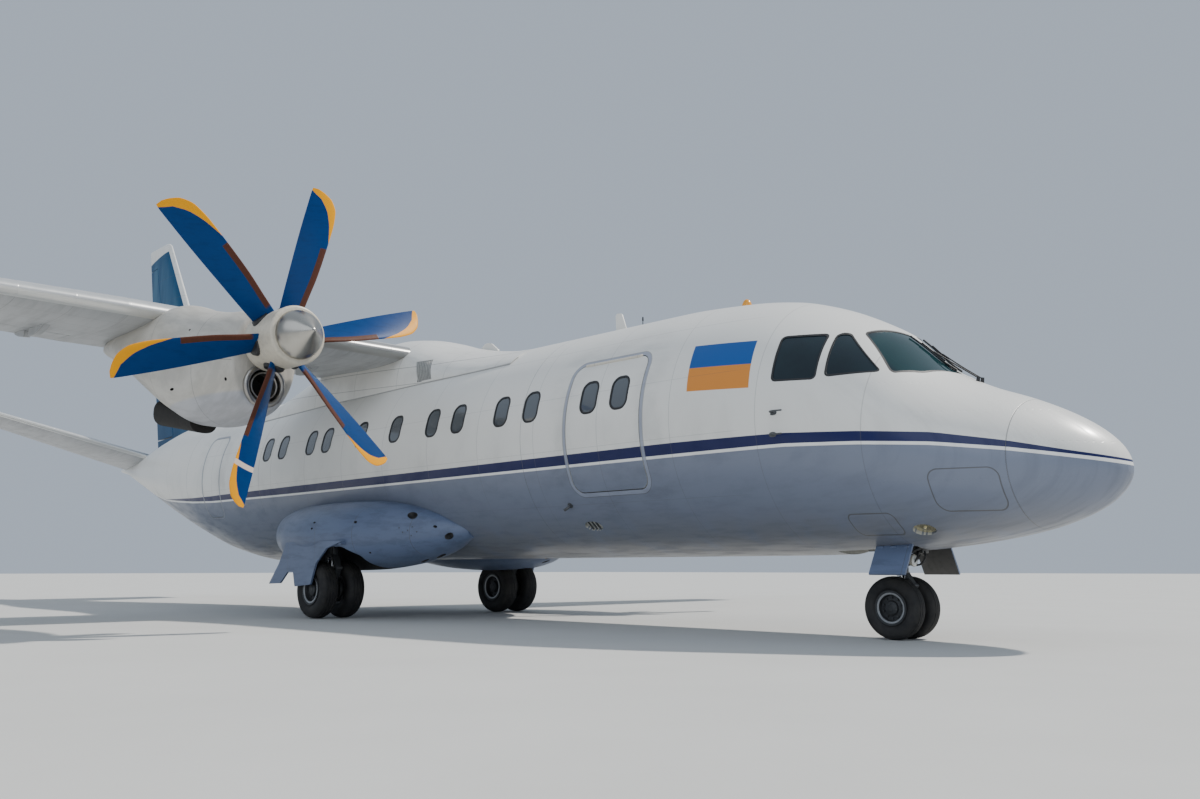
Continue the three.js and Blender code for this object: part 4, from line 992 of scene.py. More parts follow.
def wing_body(start, end, steps, grow=0.0, crowd=1.0):
    """The wing between two distances from the middle; crowd above 1 packs sections at its end."""

    def place(turn, run):
        x = start + (end - start) * (1 - (1 - run) ** crowd)
        part = max(0.0, (abs(x) - WING_END + TIP_LENGTH) / TIP_LENGTH)
        shrink, squash = along(TIP_ROUND, part) if part > 0 else (1.0, 1.0)
        section = wing_section(x)
        distance, offset = section_point(section, turn, grow, shrink, squash)
        return at(x, section["edge"] + distance, section["height"] + offset)

    return wrapped(88, steps, place)


def centre_wing(grow=0.0):
    """The wing from nacelle to nacelle."""
    return wing_body(-WING_JOINT, WING_JOINT, 40, grow)


def wing_hinge(x, fraction):
    section = wing_section(x)
    half, line = foil(fraction, section["thick"], section["camber"])
    height = section["height"] + section["chord"] * line - section["drop"] * fraction
    point = at(x, section["edge"] + section["chord"] * fraction, height)
    return point, section["chord"] * half - 0.001


def wedge_behind(start, end, start_gap, end_gap, across, reach):
    """Everything behind a hinge line, as the hull of eight corners."""
    axis = (end[0] - start[0]).normalized()
    bm = bmesh.new()
    for (point, _), shift in ((start, -start_gap), (end, end_gap)):
        for depth in (0.0, reach * 4):
            for rise in (-reach, reach):
                bm.verts.new(point + axis * shift + Vector((0, depth, 0)) + across * rise)
    bmesh.ops.convex_hull(bm, input=bm.verts)
    bmesh.ops.recalc_face_normals(bm, faces=bm.faces)
    return bm


def control_surface(body, start, end, across, gap, reach=0.9, end_gaps=(END_GAP, END_GAP)):
    """Splits a surface at a hinge line into the fixed part and the moving part with a round nose."""
    axis = (end[0] - start[0]).normalized()
    nose = rod(start[0], end[0], start[1], end[1], 48)
    slot = rod(start[0] - axis * END_GAP, end[0] + axis * END_GAP, start[1] + gap, end[1] + gap, 48)
    moving = combined(body.copy(), "INTERSECT", wedge_behind(start, end, 0, 0, across, reach))
    moving = combined(moving, "UNION", nose)
    fixed = combined(body, "DIFFERENCE", wedge_behind(start, end, *end_gaps, across, reach), slot)
    return fixed, moving


print("wing chord", WING["chord"], "to", WING_TIP["chord"])

# %% [markdown]
# ## Wing paint
# The outer wing is light grey with a bright bare strip along its leading edge, which carries the
# ice protection. The strip is found from the distance behind the leading edge, which runs straight
# out to the nacelle and then sweeps back a little.

# %% Wing, tail and fin paints
BRIGHT_STRIP = (0.78, 0.78, 0.76)


def edge_distance(paint, spans, edges):
    """Distance behind a leading edge that goes through the given points."""
    reach, far = spans[-1], 30.0
    levels = [(span / reach, edge / far) for span, edge in zip(spans, edges)]
    return paint.y + HALF_LENGTH - paint.curve(abs(paint.x) / reach, levels) * far


def surface_paint(name, colour, strip_width, distance_of, inner_until=None):
    paint = Finish(name)
    behind_edge = distance_of(paint)
    wander = paint.noise(1.4, 4.0, 0.6)
    streak = paint.noise(2.6, 6.0, 0.6, (4.0, 0.5, 1.0))
    base = paint.mix(wander, colour, dimmed(colour, 0.84))
    base = paint.tint(base, streak.above(0.52, 0.12) * 0.55, 0.74)
    ribs = abs(paint.x).lines(0.62, 0.003, 0.1)
    spars = behind_edge.lines(0.46, 0.003, 0.04)
    seams = ribs.most(spars)
    base = paint.mix(seams * 0.5, base, SEAM_DARK)
    bright = behind_edge.below(strip_width, 0.003)
    tone = BRIGHT_STRIP
    if inner_until is not None:
        tone = paint.mix(abs(paint.x).below(inner_until, 0.01), BRIGHT_STRIP, (0.40, 0.40, 0.39))
    paint.put("Base Color", paint.mix(bright, base, tone))
    paint.put("Metallic", bright * 0.75)
    paint.put("Roughness", wander * 0.12 + streak * 0.15 + 0.27 - bright * 0.05)
    paint.bump(wander * 0.4 + streak * 0.2 - seams - bright * 0.5, 0.003, 0.4)
    return paint


wing_paint = surface_paint(
    "wing_paint", (0.47, 0.48, 0.49), 0.115,
    lambda paint: edge_distance(
        paint, [0.0, WING_JOINT, WING_END], [WING["edge"], WING["edge"], WING_TIP["edge"]],
    ),
    inner_until=3.6,
)
tail_paint = surface_paint(
    "tail_paint", (0.45, 0.46, 0.48), 0.085,
    lambda paint: edge_distance(paint, [0.0, 0.2, 4.35], [19.4446, TAIL_ROOT["edge"], TAIL_TIP["edge"]]),
)


def fin_finish():
    """Teal with a white leading edge, light upright bars near the rear and a pale tip."""
    paint = Finish("fin_paint")
    station = paint.y + HALF_LENGTH
    sweep = (FIN_TIP["edge"] - FIN_ROOT["edge"]) / (FIN_TIP["height"] - FIN_ROOT["height"])
    behind_edge = station - (paint.z - FIN_ROOT["height"]) * sweep - FIN_ROOT["edge"]
    wander = paint.noise(1.6, 4.0, 0.6)
    streak = paint.noise(3.0, 6.0, 0.6, (1.0, 3.0, 0.4))
    teal = paint.mix(wander, (0.0, 0.070, 0.170), (0.0, 0.050, 0.125))
    patches = paint.noise(0.9, 2.0, 0.45, (1.0, 2.0, 0.35)).above(0.50, 0.12)
    faded = patches * behind_edge.between(0.35, 1.75, 0.15)
    teal = paint.mix(faded * paint.z.between(3.6, 7.8, 0.3) * 0.16, teal, (0.22, 0.46, 0.56))
    tip = (paint.z + behind_edge * 0.10).above(8.02, 0.004)
    pale = behind_edge.below(0.130, 0.004).most(tip)
    colour = paint.mix(pale, teal, (0.74, 0.74, 0.72))
    ribs = paint.z.lines(0.58, 0.003, 0.2)
    colour = paint.mix(ribs * 0.4, colour, SEAM_DARK)
    colour = paint.tint(colour, streak.above(0.56, 0.12) * 0.4, 0.78)
    paint.put("Base Color", colour)
    paint.put("Roughness", wander * 0.12 + streak * 0.1 + 0.26)
    paint.bump(wander * 0.4 - ribs, 0.003, 0.4)
    return paint.fixed(Specular_IOR_Level=0.15)


fin_paint = fin_finish()
print("surface paints", [paint.material.name for paint in (wing_paint, tail_paint, fin_paint)])

# %% [markdown]
# ## Wing, flaps and ailerons
# The middle wing runs through the fairing from nacelle to nacelle, the outer wings taper to a
# rounded tip. Each flap and aileron is the part behind its hinge line with a round nose on the
# hinge, so it can turn without opening a gap; the fixed part is cut a little wider.

# %% Wings with their moving surfaces
FLAP_GAP, RUNNING_GAP = 0.020, 0.012
FLAP_HINGE, AILERON_HINGE = 0.74, 0.75


def split_off(wing, name, body, side, spans, hinge, gap):
    """Makes a moving piece from the part of a wing behind its hinge, and returns the rest."""
    start, end = [wing_hinge(side * x, hinge) for x in spans]
    wing, moving = control_surface(wing, start, end, Vector((0, 0, 1)), gap)
    finished(name, moving, body, wing_paint, slot="grey_paint", replaces=[body])
    return wing


middle_wing = centre_wing()
for side, name in SIDES:
    middle_wing = split_off(
        middle_wing, f"inner_flap_{name}", f"flap_inner_{name}", side, (1.320, 3.600), FLAP_HINGE, FLAP_GAP,
    )
    outer = wing_body(side * (WING_JOINT + GAP), side * WING_END, 64, crowd=1.6)
    outer = split_off(
        outer, f"outer_flap_{name}", f"flap_outer_{name}", side, (5.000, 8.250), FLAP_HINGE, FLAP_GAP,
    )
    outer = split_off(
        outer, f"aileron_skin_{name}", f"aileron_{name}", side, (8.330, 11.750), AILERON_HINGE, RUNNING_GAP,
    )
    finished(f"outer_wing_{name}", outer, "airframe", wing_paint, slot="grey_paint", replaces=[f"wing_{name}"])
finished("middle_wing", middle_wing, "airframe", wing_paint, slot="grey_paint", replaces=["wing_centre"])
print("wings done")

# %% [markdown]
# ## Wing fairing
# The fairing carries the fuselage's roof up over the wing, steep-sided and nearly flat on top in
# the middle, and fades into the roof at both ends. Its sections are half ovals with straight sides
# that run down into the skin.

# %% Fairing
WING_FAIRING = [
    (7.150, 0.975, 3.300, 3.690, 1.5), (7.700, 0.985, 3.290, 3.710, 1.6), (8.300, 0.990, 3.285, 3.780, 1.8),
    (9.000, 0.995, 3.280, 3.930, 2.1), (9.800, 1.010, 3.260, 4.150, 2.6), (10.300, 1.020, 3.240, 4.200, 2.8),
    (11.300, 1.030, 3.220, 4.190, 2.8), (12.100, 1.060, 3.180, 4.080, 2.4), (12.900, 1.090, 3.150, 3.890, 1.9),
    (13.600, 1.114, 3.150, 3.692, 1.55),
]
FAIRING_START, FAIRING_LENGTH, FAIRING_FOOT = 7.150, 6.450, 2.700
JOINED_HULL = (6.8, 14.0, 20)


def fairing_point(turn, run, grow):
    """The turn runs over the arch first, down the straight side and then across the foot."""
    station = FAIRING_START + run * FAIRING_LENGTH
    half_width, springing, top, roundness = along(WING_FAIRING, station)
    half_width, top = half_width + grow, top + grow
    if 0.36 < turn < 0.64:
        return at(half_width * (0.5 - turn) / 0.14, station, FAIRING_FOOT)
    if 0.30 < turn <= 0.36 or 0.64 <= turn < 0.70:
        drop = (turn - 0.30 if turn < 0.5 else 0.70 - turn) / 0.06
        height = springing + (FAIRING_FOOT - springing) * drop
        return at(math.copysign(half_width, 0.5 - turn), station, height)
    part = turn / 0.30 if turn < 0.5 else (1 - turn) / 0.30
    x, z = rounded(part * 0.25, half_width, top - springing, roundness)
    return at(math.copysign(x, 0.5 - turn), station, springing + z)


def fairing_body(grow=0.0):
    return wrapped(100, 60, lambda turn, run: fairing_point(turn, run, grow))


def fairing_finish():
    """White like the roof, with joint lines where its panels meet and a dark one at its foot."""
    paint = Finish("fairing_paint")
    station = paint.y + HALF_LENGTH
    wander = paint.noise(1.1, 4.0, 0.6)
    grime = paint.noise(2.4, 6.0, 0.62, (6.0, 1.0, 0.4))
    foot = ((paint.x**2.0 + (paint.z - BARREL_HEIGHT) ** 2.0) ** 0.5).below(BARREL_RADIUS + 0.012, 0.003)
    foot = foot * paint.z.below(3.42, 0.01)
    height = paint.z - (station - 9.0).most(0.0) * 0.05
    seams = station.lines(1.12, 0.004, 0.38) * 0.6
    seams = seams.most(height.between(3.556, 3.564, 0.003)).most(foot)
    seams = seams.most(height.between(3.296, 3.303, 0.003) * station.above(7.7, 0.01))
    colour = paint.mix(wander, WHITE, dimmed(WHITE, 0.92))
    colour = paint.tint(colour, grime.above(0.55, 0.14) * 0.5, 0.80)
    paint.put("Base Color", paint.mix(seams * 0.65, colour, SEAM_DARK))
    paint.put("Roughness", wander * 0.12 + grime * 0.1 + 0.24)
    paint.bump(wander * 0.35 - seams, 0.004, 0.45)
    return paint.fixed(Coat_Weight=0.12, Coat_Roughness=0.15)


fairing_paint = fairing_finish()
# the grille's slanted pocket: its foot and top heights, its start and length at the foot, and how
# far its top lies behind its foot
GRILLE_FOOT, GRILLE_TOP, GRILLE_START, GRILLE_LENGTH, GRILLE_LEAN = 3.330, 3.655, 8.855, 0.315, 0.178


def slanted_prisms(starts, length):
    """Prisms through the grille on both sides, leaning back, one for each start at the foot."""
    prisms = []
    for side in (LEFT, RIGHT):
        for start in starts:
            outline = [
                (start, GRILLE_FOOT), (start + length, GRILLE_FOOT),
                (start + length + GRILLE_LEAN, GRILLE_TOP), (start + GRILLE_LEAN, GRILLE_TOP),
            ]
            points = [at(side * 0.60, station, z) for station, z in outline]
            prisms.append(pushed(points, (side * 0.52, 0, 0)))
    return merged(*prisms)


grille_hole = combined(slanted_prisms([GRILLE_START], GRILLE_LENGTH), "DIFFERENCE", fairing_body(-0.014))
fairing = combined(
    fairing_body(), "DIFFERENCE", skin(*JOINED_HULL, GAP), centre_wing(GAP), grille_hole,
)


def in_grille(point):
    """True on the floor of the pocket, more than 2 mm inside its outline."""
    rise = point.z - GRILLE_FOOT
    start = point.y + HALF_LENGTH - rise * GRILLE_LEAN / (GRILLE_TOP - GRILLE_FOOT) - GRILLE_START
    inside = 0.002 < rise < GRILLE_TOP - GRILLE_FOOT - 0.002 and 0.002 < start < GRILLE_LENGTH - 0.002
    return inside and abs(point.x) > 0.6


# painted shade: the floor of the shallow grille pocket is dark, for the shade behind the slats
fairing = painted_where(fairing, in_grille, 1)
finished(
    "wing_fairing_skin", fairing, "airframe", fairing_paint, dark_metal_and_shade,
    slot="white_paint", replaces=["wing_fairing"],
)
slats = slanted_prisms([GRILLE_START + 0.020 + 0.034 * i for i in range(9)], 0.016)
slats = combined(slats, "INTERSECT", fairing_body(-0.002))
slats = combined(slats, "DIFFERENCE", fairing_body(-0.030))
finished("fairing_grille", slats, "airframe", grille_grey, slot="white_paint")
print("fairing done")

# %% [markdown]
# ## Tailplane, elevators, fin and rudder
# The same section helper draws the tail. Each half of the tailplane climbs outwards from the tail
# cone; the fin stands on the spine. Their moving parts are split off in the same way as the flaps.

# %% Tail surfaces
TAIL_IN, TAIL_OUT, TAIL_HINGE = 0.200, 4.350, 0.68
FIN_TOP, TAIL_ROUND, FIN_ROUND = 8.232, 0.120, 0.090
TAIL_ENDS = [(0.0, 1.0, 1.0), (0.25, 0.98, 0.96), (0.75, 0.92, 0.70), (1.0, 0.80, 0.35)]
tail_hull = skin(FRONT_END, CONE_END, 120, GAP)


def tail_section(x):
    return blended(TAIL_ROOT, TAIL_TIP, (x - TAIL_IN) / (TAIL_OUT - TAIL_IN))


def tip_rounded(section, turn, part):
    """The station and offset of a section's point; part runs from 0 to 1 over the rounded tip."""
    shrink, squash = along(TAIL_ENDS, part) if part > 0 else (1.0, 1.0)
    distance, offset = section_point(section, turn, 0.0, shrink, squash, 0.7)
    return section["edge"] + distance, offset


def hinge_in(section):
    """The station of the hinge line in a section, and the radius of its round nose."""
    half, _ = foil(TAIL_HINGE, section["thick"])
    return section["edge"] + section["chord"] * TAIL_HINGE, section["chord"] * half - 0.001


def tail_place(side):
    def place(turn, run):
        x = TAIL_IN + (TAIL_OUT - TAIL_IN) * (1 - (1 - run) ** 1.5)
        section = tail_section(x)
        part = max(0.0, (x - TAIL_OUT + TAIL_ROUND) / TAIL_ROUND)
        station, offset = tip_rounded(section, turn, part)
        return at(side * x, station, section["height"] + offset)

    return place


def tail_hinge(x, side):
    section = tail_section(x)
    station, radius = hinge_in(section)
    return at(side * x, station, section["height"]), radius


for side, name in SIDES:
    climb = TAIL_TIP["height"] - TAIL_ROOT["height"]
    across = Vector((-side * climb, 0, TAIL_OUT - TAIL_IN)).normalized()
    ends = [tail_hinge(0.900, side), tail_hinge(4.080, side)]
    half, elevator = control_surface(
        wrapped(88, 44, tail_place(side)), ends[0], ends[1], across, RUNNING_GAP, 0.5,
    )
    half = combined(half, "DIFFERENCE", tail_hull.copy())
    finished(
        f"tailplane_skin_{name}", half, "airframe", tail_paint,
        slot="grey_paint", replaces=[f"tailplane_{name}"],
    )
    finished(
        f"elevator_skin_{name}", elevator, f"elevator_{name}", tail_paint,
        slot="grey_paint", replaces=[f"elevator_{name}"],
    )


def fin_section(height):
    part = (height - FIN_ROOT["height"]) / (FIN_TIP["height"] - FIN_ROOT["height"])
    return blended(FIN_ROOT, FIN_TIP, part)


def fin_point(turn, run):
    height = FIN_ROOT["height"] + (FIN_TOP - FIN_ROOT["height"]) * (1 - (1 - run) ** 1.5)
    part = max(0.0, (height - FIN_TOP + FIN_ROUND) / FIN_ROUND)
    station, offset = tip_rounded(fin_section(height), turn, part)
    return at(offset, station, height)


def fin_hinge(height):
    station, radius = hinge_in(fin_section(height))
    return at(0, station, height), radius


fin_body, rudder = control_surface(
    wrapped(88, 60, fin_point), fin_hinge(3.560), fin_hinge(7.700), Vector((1, 0, 0)),
    RUNNING_GAP, 1.1, (0.028, 0.016),
)
fin_body = combined(fin_body, "DIFFERENCE", tail_hull)
finished("fin_skin", fin_body, "airframe", fin_paint, slot="teal_paint", replaces=["fin"])
finished("rudder_skin", rudder, "rudder", fin_paint, slot="teal_paint", replaces=["rudder"])
print("tail done")

# %% [markdown]
# ## Nacelles
# A nacelle is a streamlined cowl hung under the wing. Its sections are rounded boxes that swell
# behind the propeller and run out to a point under the trailing edge. The inside is hollow, as in
# the model, and the engine block stays in it. Soot darkens it behind the exhaust.

# %% Nacelle paint
ENGINE_X = 4.153
SHAFT_HEIGHT, MOUTH_HEIGHT = 3.147, 2.680


def nacelle_finish():
    paint = Finish("nacelle_paint")
    station = paint.y + HALF_LENGTH
    wander = paint.noise(1.6, 4.0, 0.6)
    streak = paint.noise(3.0, 6.0, 0.62, (5.0, 0.6, 1.0))
    base = paint.mix(wander, (0.58, 0.555, 0.505), (0.50, 0.470, 0.410))
    # painted shade: below 2.60 m the cowl turns a cool grey, standing in for its shaded underside
    base = paint.mix(paint.z.below(2.60, 0.02) * 0.7, base, (0.40, 0.42, 0.48))
    base = paint.tint(base, streak.above(0.50, 0.12) * 0.6, 0.72)
    across = abs(paint.x) - ENGINE_X
    seams = abs(station - 8.36).below(0.004, 0.002).most(abs(station - 9.55).below(0.003, 0.002))
    side_line = abs(paint.z - 2.98 - (station - 8.0) * 0.12).below(0.003, 0.002)
    seams = seams.most(side_line * station.between(7.6, 11.6, 0.01))
    base = paint.mix(seams * 0.75, base, SEAM_DARK)
    soot = abs(across).below(0.36, 0.14) * station.above(9.9, 0.35) * paint.z.below(3.25, 0.35)
    base = paint.mix(soot * (0.45 + streak * 0.5), base, (0.03, 0.028, 0.025))
    paint.put("Base Color", base)
    paint.put("Roughness", wander * 0.15 + streak * 0.15 + 0.25)
    paint.bump(wander * 0.5 + streak * 0.2 - seams, 0.003, 0.45)
    return paint


nacelle_paint = nacelle_finish()
exhaust_soot = coat("exhaust_soot", (0.022, 0.020, 0.018), 0.75, 0.5, metallic=0.2)
intake_metal = coat("intake_metal", (0.42, 0.40, 0.37), 0.34, 0.4, metallic=0.9, grain=12.0)
# near black, painted as the shade inside openings: the floors of the cowl vents and the end of the intake
painted_shade_black = coat("painted_shade_black", (0.012, 0.012, 0.012), 0.8, 0.2)

# %% Cowl, exhaust and intake shapes
NACELLE = [
    (7.580, 0.375, 3.515, 2.420, 2.0), (7.800, 0.440, 3.570, 2.345, 2.1), (8.300, 0.490, 3.640, 2.300, 2.2),
    (8.900, 0.505, 3.770, 2.360, 2.3), (9.500, 0.505, 3.930, 2.560, 2.3), (10.100, 0.490, 3.950, 2.830, 2.2),
    (10.700, 0.450, 3.930, 3.120, 2.1), (11.300, 0.370, 3.890, 3.380, 2.0), (11.900, 0.230, 3.810, 3.590, 2.0),
    (12.150, 0.090, 3.765, 3.690, 2.0),
]
COWL_START, COWL_END, COWL_LIP, COWL_WALL = 7.580, 12.150, 0.035, 0.045
EXHAUST_LOW, EXHAUST_HIGH, EXHAUST_HALF, EXHAUST_RISE = 2.290, 2.620, 0.170, 0.190
EXHAUST_START, EXHAUST_END = 9.050, 10.150


def nacelle_tube(x, first, last, steps, grow, lip=0.0, crowd=1.0):
    """A length of cowl; a lip above 0 rounds its front edge."""

    def place(turn, run):
        station = first + (last - first) * run**crowd
        half_width, top, bottom, roundness = along(NACELLE, station)
        inset = grow
        if lip and station < first + lip:
            t = (station - first) / lip
            inset -= lip * (1 - math.sqrt(t * (2 - t)))
        dx, dz = rounded(turn, half_width + inset, (top - bottom) / 2 + inset, roundness)
        return at(x + dx, station, (top + bottom) / 2 + dz)

    return wrapped(96, steps, place)


def exhaust_tube(x, grow, first=EXHAUST_START, last=EXHAUST_END):
    """A squarish pipe that climbs a little towards its end."""

    def place(turn, run):
        station = first + (last - first) * run
        rise = EXHAUST_RISE * (station - EXHAUST_START) / (EXHAUST_END - EXHAUST_START)
        half_height = (EXHAUST_HIGH - EXHAUST_LOW) / 2
        dx, dz = rounded(turn, EXHAUST_HALF + grow, half_height + grow, 2.6)
        return at(x + dx, station, (EXHAUST_HIGH + EXHAUST_LOW) / 2 + rise + dz)

    return wrapped(56, 16, place)


def axis_rod(x, height, first, last, radius):
    return rod(at(x, first, height), at(x, last, height), radius, sides=64)


def ring(x, height, profile, steps=72):
    """A closed (station, radius) outline spun about the shaft's direction."""
    return turned(profile, at(x, 0, height), at(x, 1, height), steps)


def arc_profile(centre, radii, first, last, steps):
    """Points of an elliptic arc, in degrees, as (station, radius)."""
    points = []
    for i in range(steps + 1):
        angle = math.radians(first + (last - first) * i / steps)
        points.append((centre[0] + radii[0] * math.cos(angle), centre[1] + radii[1] * math.sin(angle)))
    return points


# vents in the cowl as (height, station, half length, half height); they are cut on the outer side
COWL_VENTS = [
    (3.229, 8.589, 0.030, 0.040), (3.105, 8.722, 0.014, 0.045), (3.206, 9.767, 0.050, 0.035),
    (2.728, 7.700, 0.016, 0.020), (3.418, 8.609, 0.020, 0.012), (2.749, 8.900, 0.060, 0.016),
]


def off_cowl(side, outward_side, station, height):
    """A point on the cowl, on its outer (1) or inner (-1) side, and the way out of it there."""
    half_width, top, bottom, roundness = along(NACELLE, station)
    middle, half_height = (top + bottom) / 2, (top - bottom) / 2
    rise = (height - middle) / half_height
    over = (1 - abs(rise) ** roundness) ** (1 / roundness) * outward_side
    outward = Vector((side * over / half_width, 0, rise / half_height))
    return at(side * (ENGINE_X + over * half_width), station, height), outward


def in_a_vent(point):
    """True below the cowl's skin, where the floor and walls of a vent lie."""
    half_width, top, bottom, roundness = along(NACELLE, point.y + HALF_LENGTH)
    over = abs(abs(point.x) - ENGINE_X) / half_width
    rise = abs(point.z - (top + bottom) / 2) / ((top - bottom) / 2)
    return 7.66 < point.y + HALF_LENGTH < 10.0 and over**roundness + rise**roundness < 0.96


# %% Nacelles on both sides
for side, name in SIDES:
    x = side * ENGINE_X
    cowl = combined(
        nacelle_tube(x, COWL_START, COWL_END, 110, 0.0, COWL_LIP, 1.3), "DIFFERENCE",
        nacelle_tube(x, 7.640, 10.900, 60, -COWL_WALL), axis_rod(x, SHAFT_HEIGHT, 7.5, 7.66, 0.19),
        axis_rod(x, MOUTH_HEIGHT, 7.5, 7.66, 0.232), centre_wing(GAP), exhaust_tube(x, GAP), *[
            oval_plug(*off_cowl(side, 1, station, height), half_along, half_up, 0.030, 0.05)
            for height, station, half_along, half_up in COWL_VENTS
        ],
    )
    # painted shade: the floors and walls of the shallow vents are near black
    cowl = painted_where(cowl, in_a_vent, 1)
    finished(
        f"cowl_{name}", cowl, "airframe", nacelle_paint, painted_shade_black,
        slot="cream_paint", replaces=[f"nacelle_{name}"],
    )
    exhaust = combined(exhaust_tube(x, 0.0), "DIFFERENCE", exhaust_tube(x, -0.025, 9.455, 10.200))
    finished(
        f"exhaust_pipe_{name}", exhaust, "airframe", exhaust_soot,
        slot="exhaust_steel", replaces=[f"exhaust_{name}"],
    )
    lip = arc_profile((7.551, 0.215), (0.026, 0.030), 90, 270, 12)
    lip += [(7.640, 0.185), (7.640, 0.2297), (7.5797, 0.2297), (7.5797, 0.245)]
    inner = arc_profile((7.575, 0.150), (0.018, 0.012), 90, 270, 8)
    inner += [(7.700, 0.140), (7.700, 0.161)]
    rings = merged(ring(x, MOUTH_HEIGHT, lip), ring(x, MOUTH_HEIGHT, inner))
    # painted shade: the intake ends a short way in at a black cone, for the shadowed depth of the duct
    duct = [(7.636, 0.184), (7.860, 0.120), (7.870, 0.0), (7.876, 0.0), (7.876, 0.126), (7.640, 0.1845)]
    finished(
        f"intake_rings_{name}", rings, "airframe", intake_metal,
        slot="bare_metal", replaces=[f"intake_{name}"],
    )
    finished(f"intake_duct_{name}", ring(x, MOUTH_HEIGHT, duct), "airframe", painted_shade_black, slot="bare_metal")
print("nacelles done")

# %% [markdown]
# ## Propellers
# Six broad curved blades stand in a drum behind a polished cone. A blade is a wing whose sections
# turn and shrink towards the tip. The paint follows the blade, so it reads the map that the grid
# helper keeps: round the section, and from root to tip. Brown strips guard the leading edge and the
# tips are yellow.

# %% Blade paint
SPINNER_TIP, HUB_FRONT, HUB_BACK, HUB_RADIUS = 6.520, 6.850, 7.490, 0.322
PROP_STATION, PROP_PHASE = 7.243, -49.1
YELLOW_WIDTH = [
    (0.0, 0.0), (0.50, 0.0), (0.637, 0.13), (0.741, 0.25), (0.863, 0.46), (0.930, 0.80), (0.960, 1.0),
]


def blade_finish():
    paint = Finish("blade_paint")
    turn, run, _ = paint.parts(paint.uv)
    from_edge = ((turn * math.pi).maths("SINE")) ** 2.0
    wander = paint.noise(3.0, 4.0, 0.6)
    chips = paint.noise(26.0, 5.0, 0.7)
    scratch = paint.noise(6.0, 6.0, 0.7, (1.0, 1.0, 6.0))
    blue = paint.mix(wander, (0.0005, 0.034, 0.145), (0.0010, 0.050, 0.190))
    blue = paint.tint(blue, scratch.above(0.58, 0.10) * 0.5, 0.70)
    edge = from_edge + chips * 0.02
    guard = edge.below(0.205, 0.006) * run.below(0.455, 0.004) * run.above(0.06, 0.01)
    colour = paint.mix(guard, blue, paint.mix(chips, (0.120, 0.042, 0.024), (0.070, 0.026, 0.018)))
    width = paint.curve(run, YELLOW_WIDTH) * 1.1
    yellow = (width - from_edge + (chips - 0.5) * 0.03).above(0.0, 0.006) * run.above(0.50, 0.01)
    colour = paint.mix(yellow, colour, paint.mix(wander, (0.940, 0.400, 0.000), (0.860, 0.340, 0.000)))
    reach = ((abs(paint.x) - ENGINE_X) ** 2.0 + (paint.z - SHAFT_HEIGHT) ** 2.0) ** 0.5
    tape = reach.between(1.425, 1.480, 0.003) * paint.z.below(1.95) * paint.x.between(-4.75, -4.16)
    colour = paint.mix(tape, colour, (0.72, 0.60, 0.52))
    colour = paint.mix(chips.above(0.70, 0.02) * from_edge.below(0.10, 0.05) * 0.7, colour, (0.30, 0.29, 0.28))
    paint.put("Base Color", colour)
    paint.put("Roughness", wander * 0.15 + chips * 0.15 + 0.20 + guard * 0.15)
    paint.bump(chips * 0.4 + guard * 0.8 + wander * 0.2, 0.0012, 0.5)
    return paint.fixed(Coat_Weight=0.01, Coat_Roughness=0.2, Specular_IOR_Level=0.12)


blade_paint = blade_finish()


def cone_finish():
    """Spun metal: fine rings from the lathe, with lighter and darker fans painted in as its reflection."""
    paint = Finish("cone_metal", metallic=1.0)
    station = paint.y + HALF_LENGTH
    across = abs(paint.x) - ENGINE_X
    radius = (across**2.0 + (paint.z - SHAFT_HEIGHT) ** 2.0) ** 0.5
    rings = (radius * 420.0 + station * 90.0).maths("SINE")
    cloud = paint.noise(5.0, 4.0, 0.6)
    turn = (paint.z - SHAFT_HEIGHT).maths("ARCTAN2", across)
    # painted reflection: lighter and darker sectors round the axis stand in for the turned metal's sheen
    painted_sheen_rays = (turn * 3.0 + cloud * 2.0).maths("SINE") * 0.5 + 0.5
    tone = paint.mix(painted_sheen_rays * 0.7 + cloud * 0.3, (0.54, 0.52, 0.475), (0.27, 0.258, 0.235))
    paint.put("Base Color", tone)
    paint.put("Roughness", cloud * 0.10 + 0.24)
    paint.bump(rings * 0.1 + cloud, 0.0008, 0.5)
    return paint


cone_metal = cone_finish()

# %% Blades, drums and cones
BLADE = [
    (0.250, 0.265, 0.070, 52, -0.100), (0.480, 0.290, 0.062, 48, -0.095), (0.800, 0.320, 0.044, 40, -0.085),
    (1.150, 0.335, 0.032, 33, -0.075), (1.420, 0.340, 0.024, 28, -0.065), (1.620, 0.320, 0.018, 25, -0.055),
    (1.760, 0.250, 0.013, 23, -0.048), (1.830, 0.150, 0.009, 22, -0.042), (1.860, 0.070, 0.006, 22, -0.036),
]
BLADE_ROOT, BLADE_LENGTH = 0.250, 1.610


def blade_way(angle):
    return Vector((math.sin(angle), 0, math.cos(angle)))


def blade_body(hub, angle):
    outward = blade_way(angle)
    ahead = Vector((math.cos(angle), 0, -math.sin(angle)))
    forward = Vector((0, -1, 0))

    def place(turn, run):
        radius = BLADE_ROOT + BLADE_LENGTH * (1 - (1 - run) ** 1.35)
        chord, thick, degrees, trail = along(BLADE, radius)
        pitch = math.radians(degrees)
        fraction = (1 - math.cos(turn * math.tau)) / 2
        half, _ = foil(fraction, 1.0)
        upper = 0.92 if turn < 0.5 else -0.70
        along_chord = ahead * math.cos(pitch) + forward * math.sin(pitch)
        up = forward * math.cos(pitch) - ahead * math.sin(pitch)
        behind = trail + (1 - fraction) * chord
        return hub + outward * radius + along_chord * behind + up * (upper * half * thick)

    return wrapped(44, 76, place)


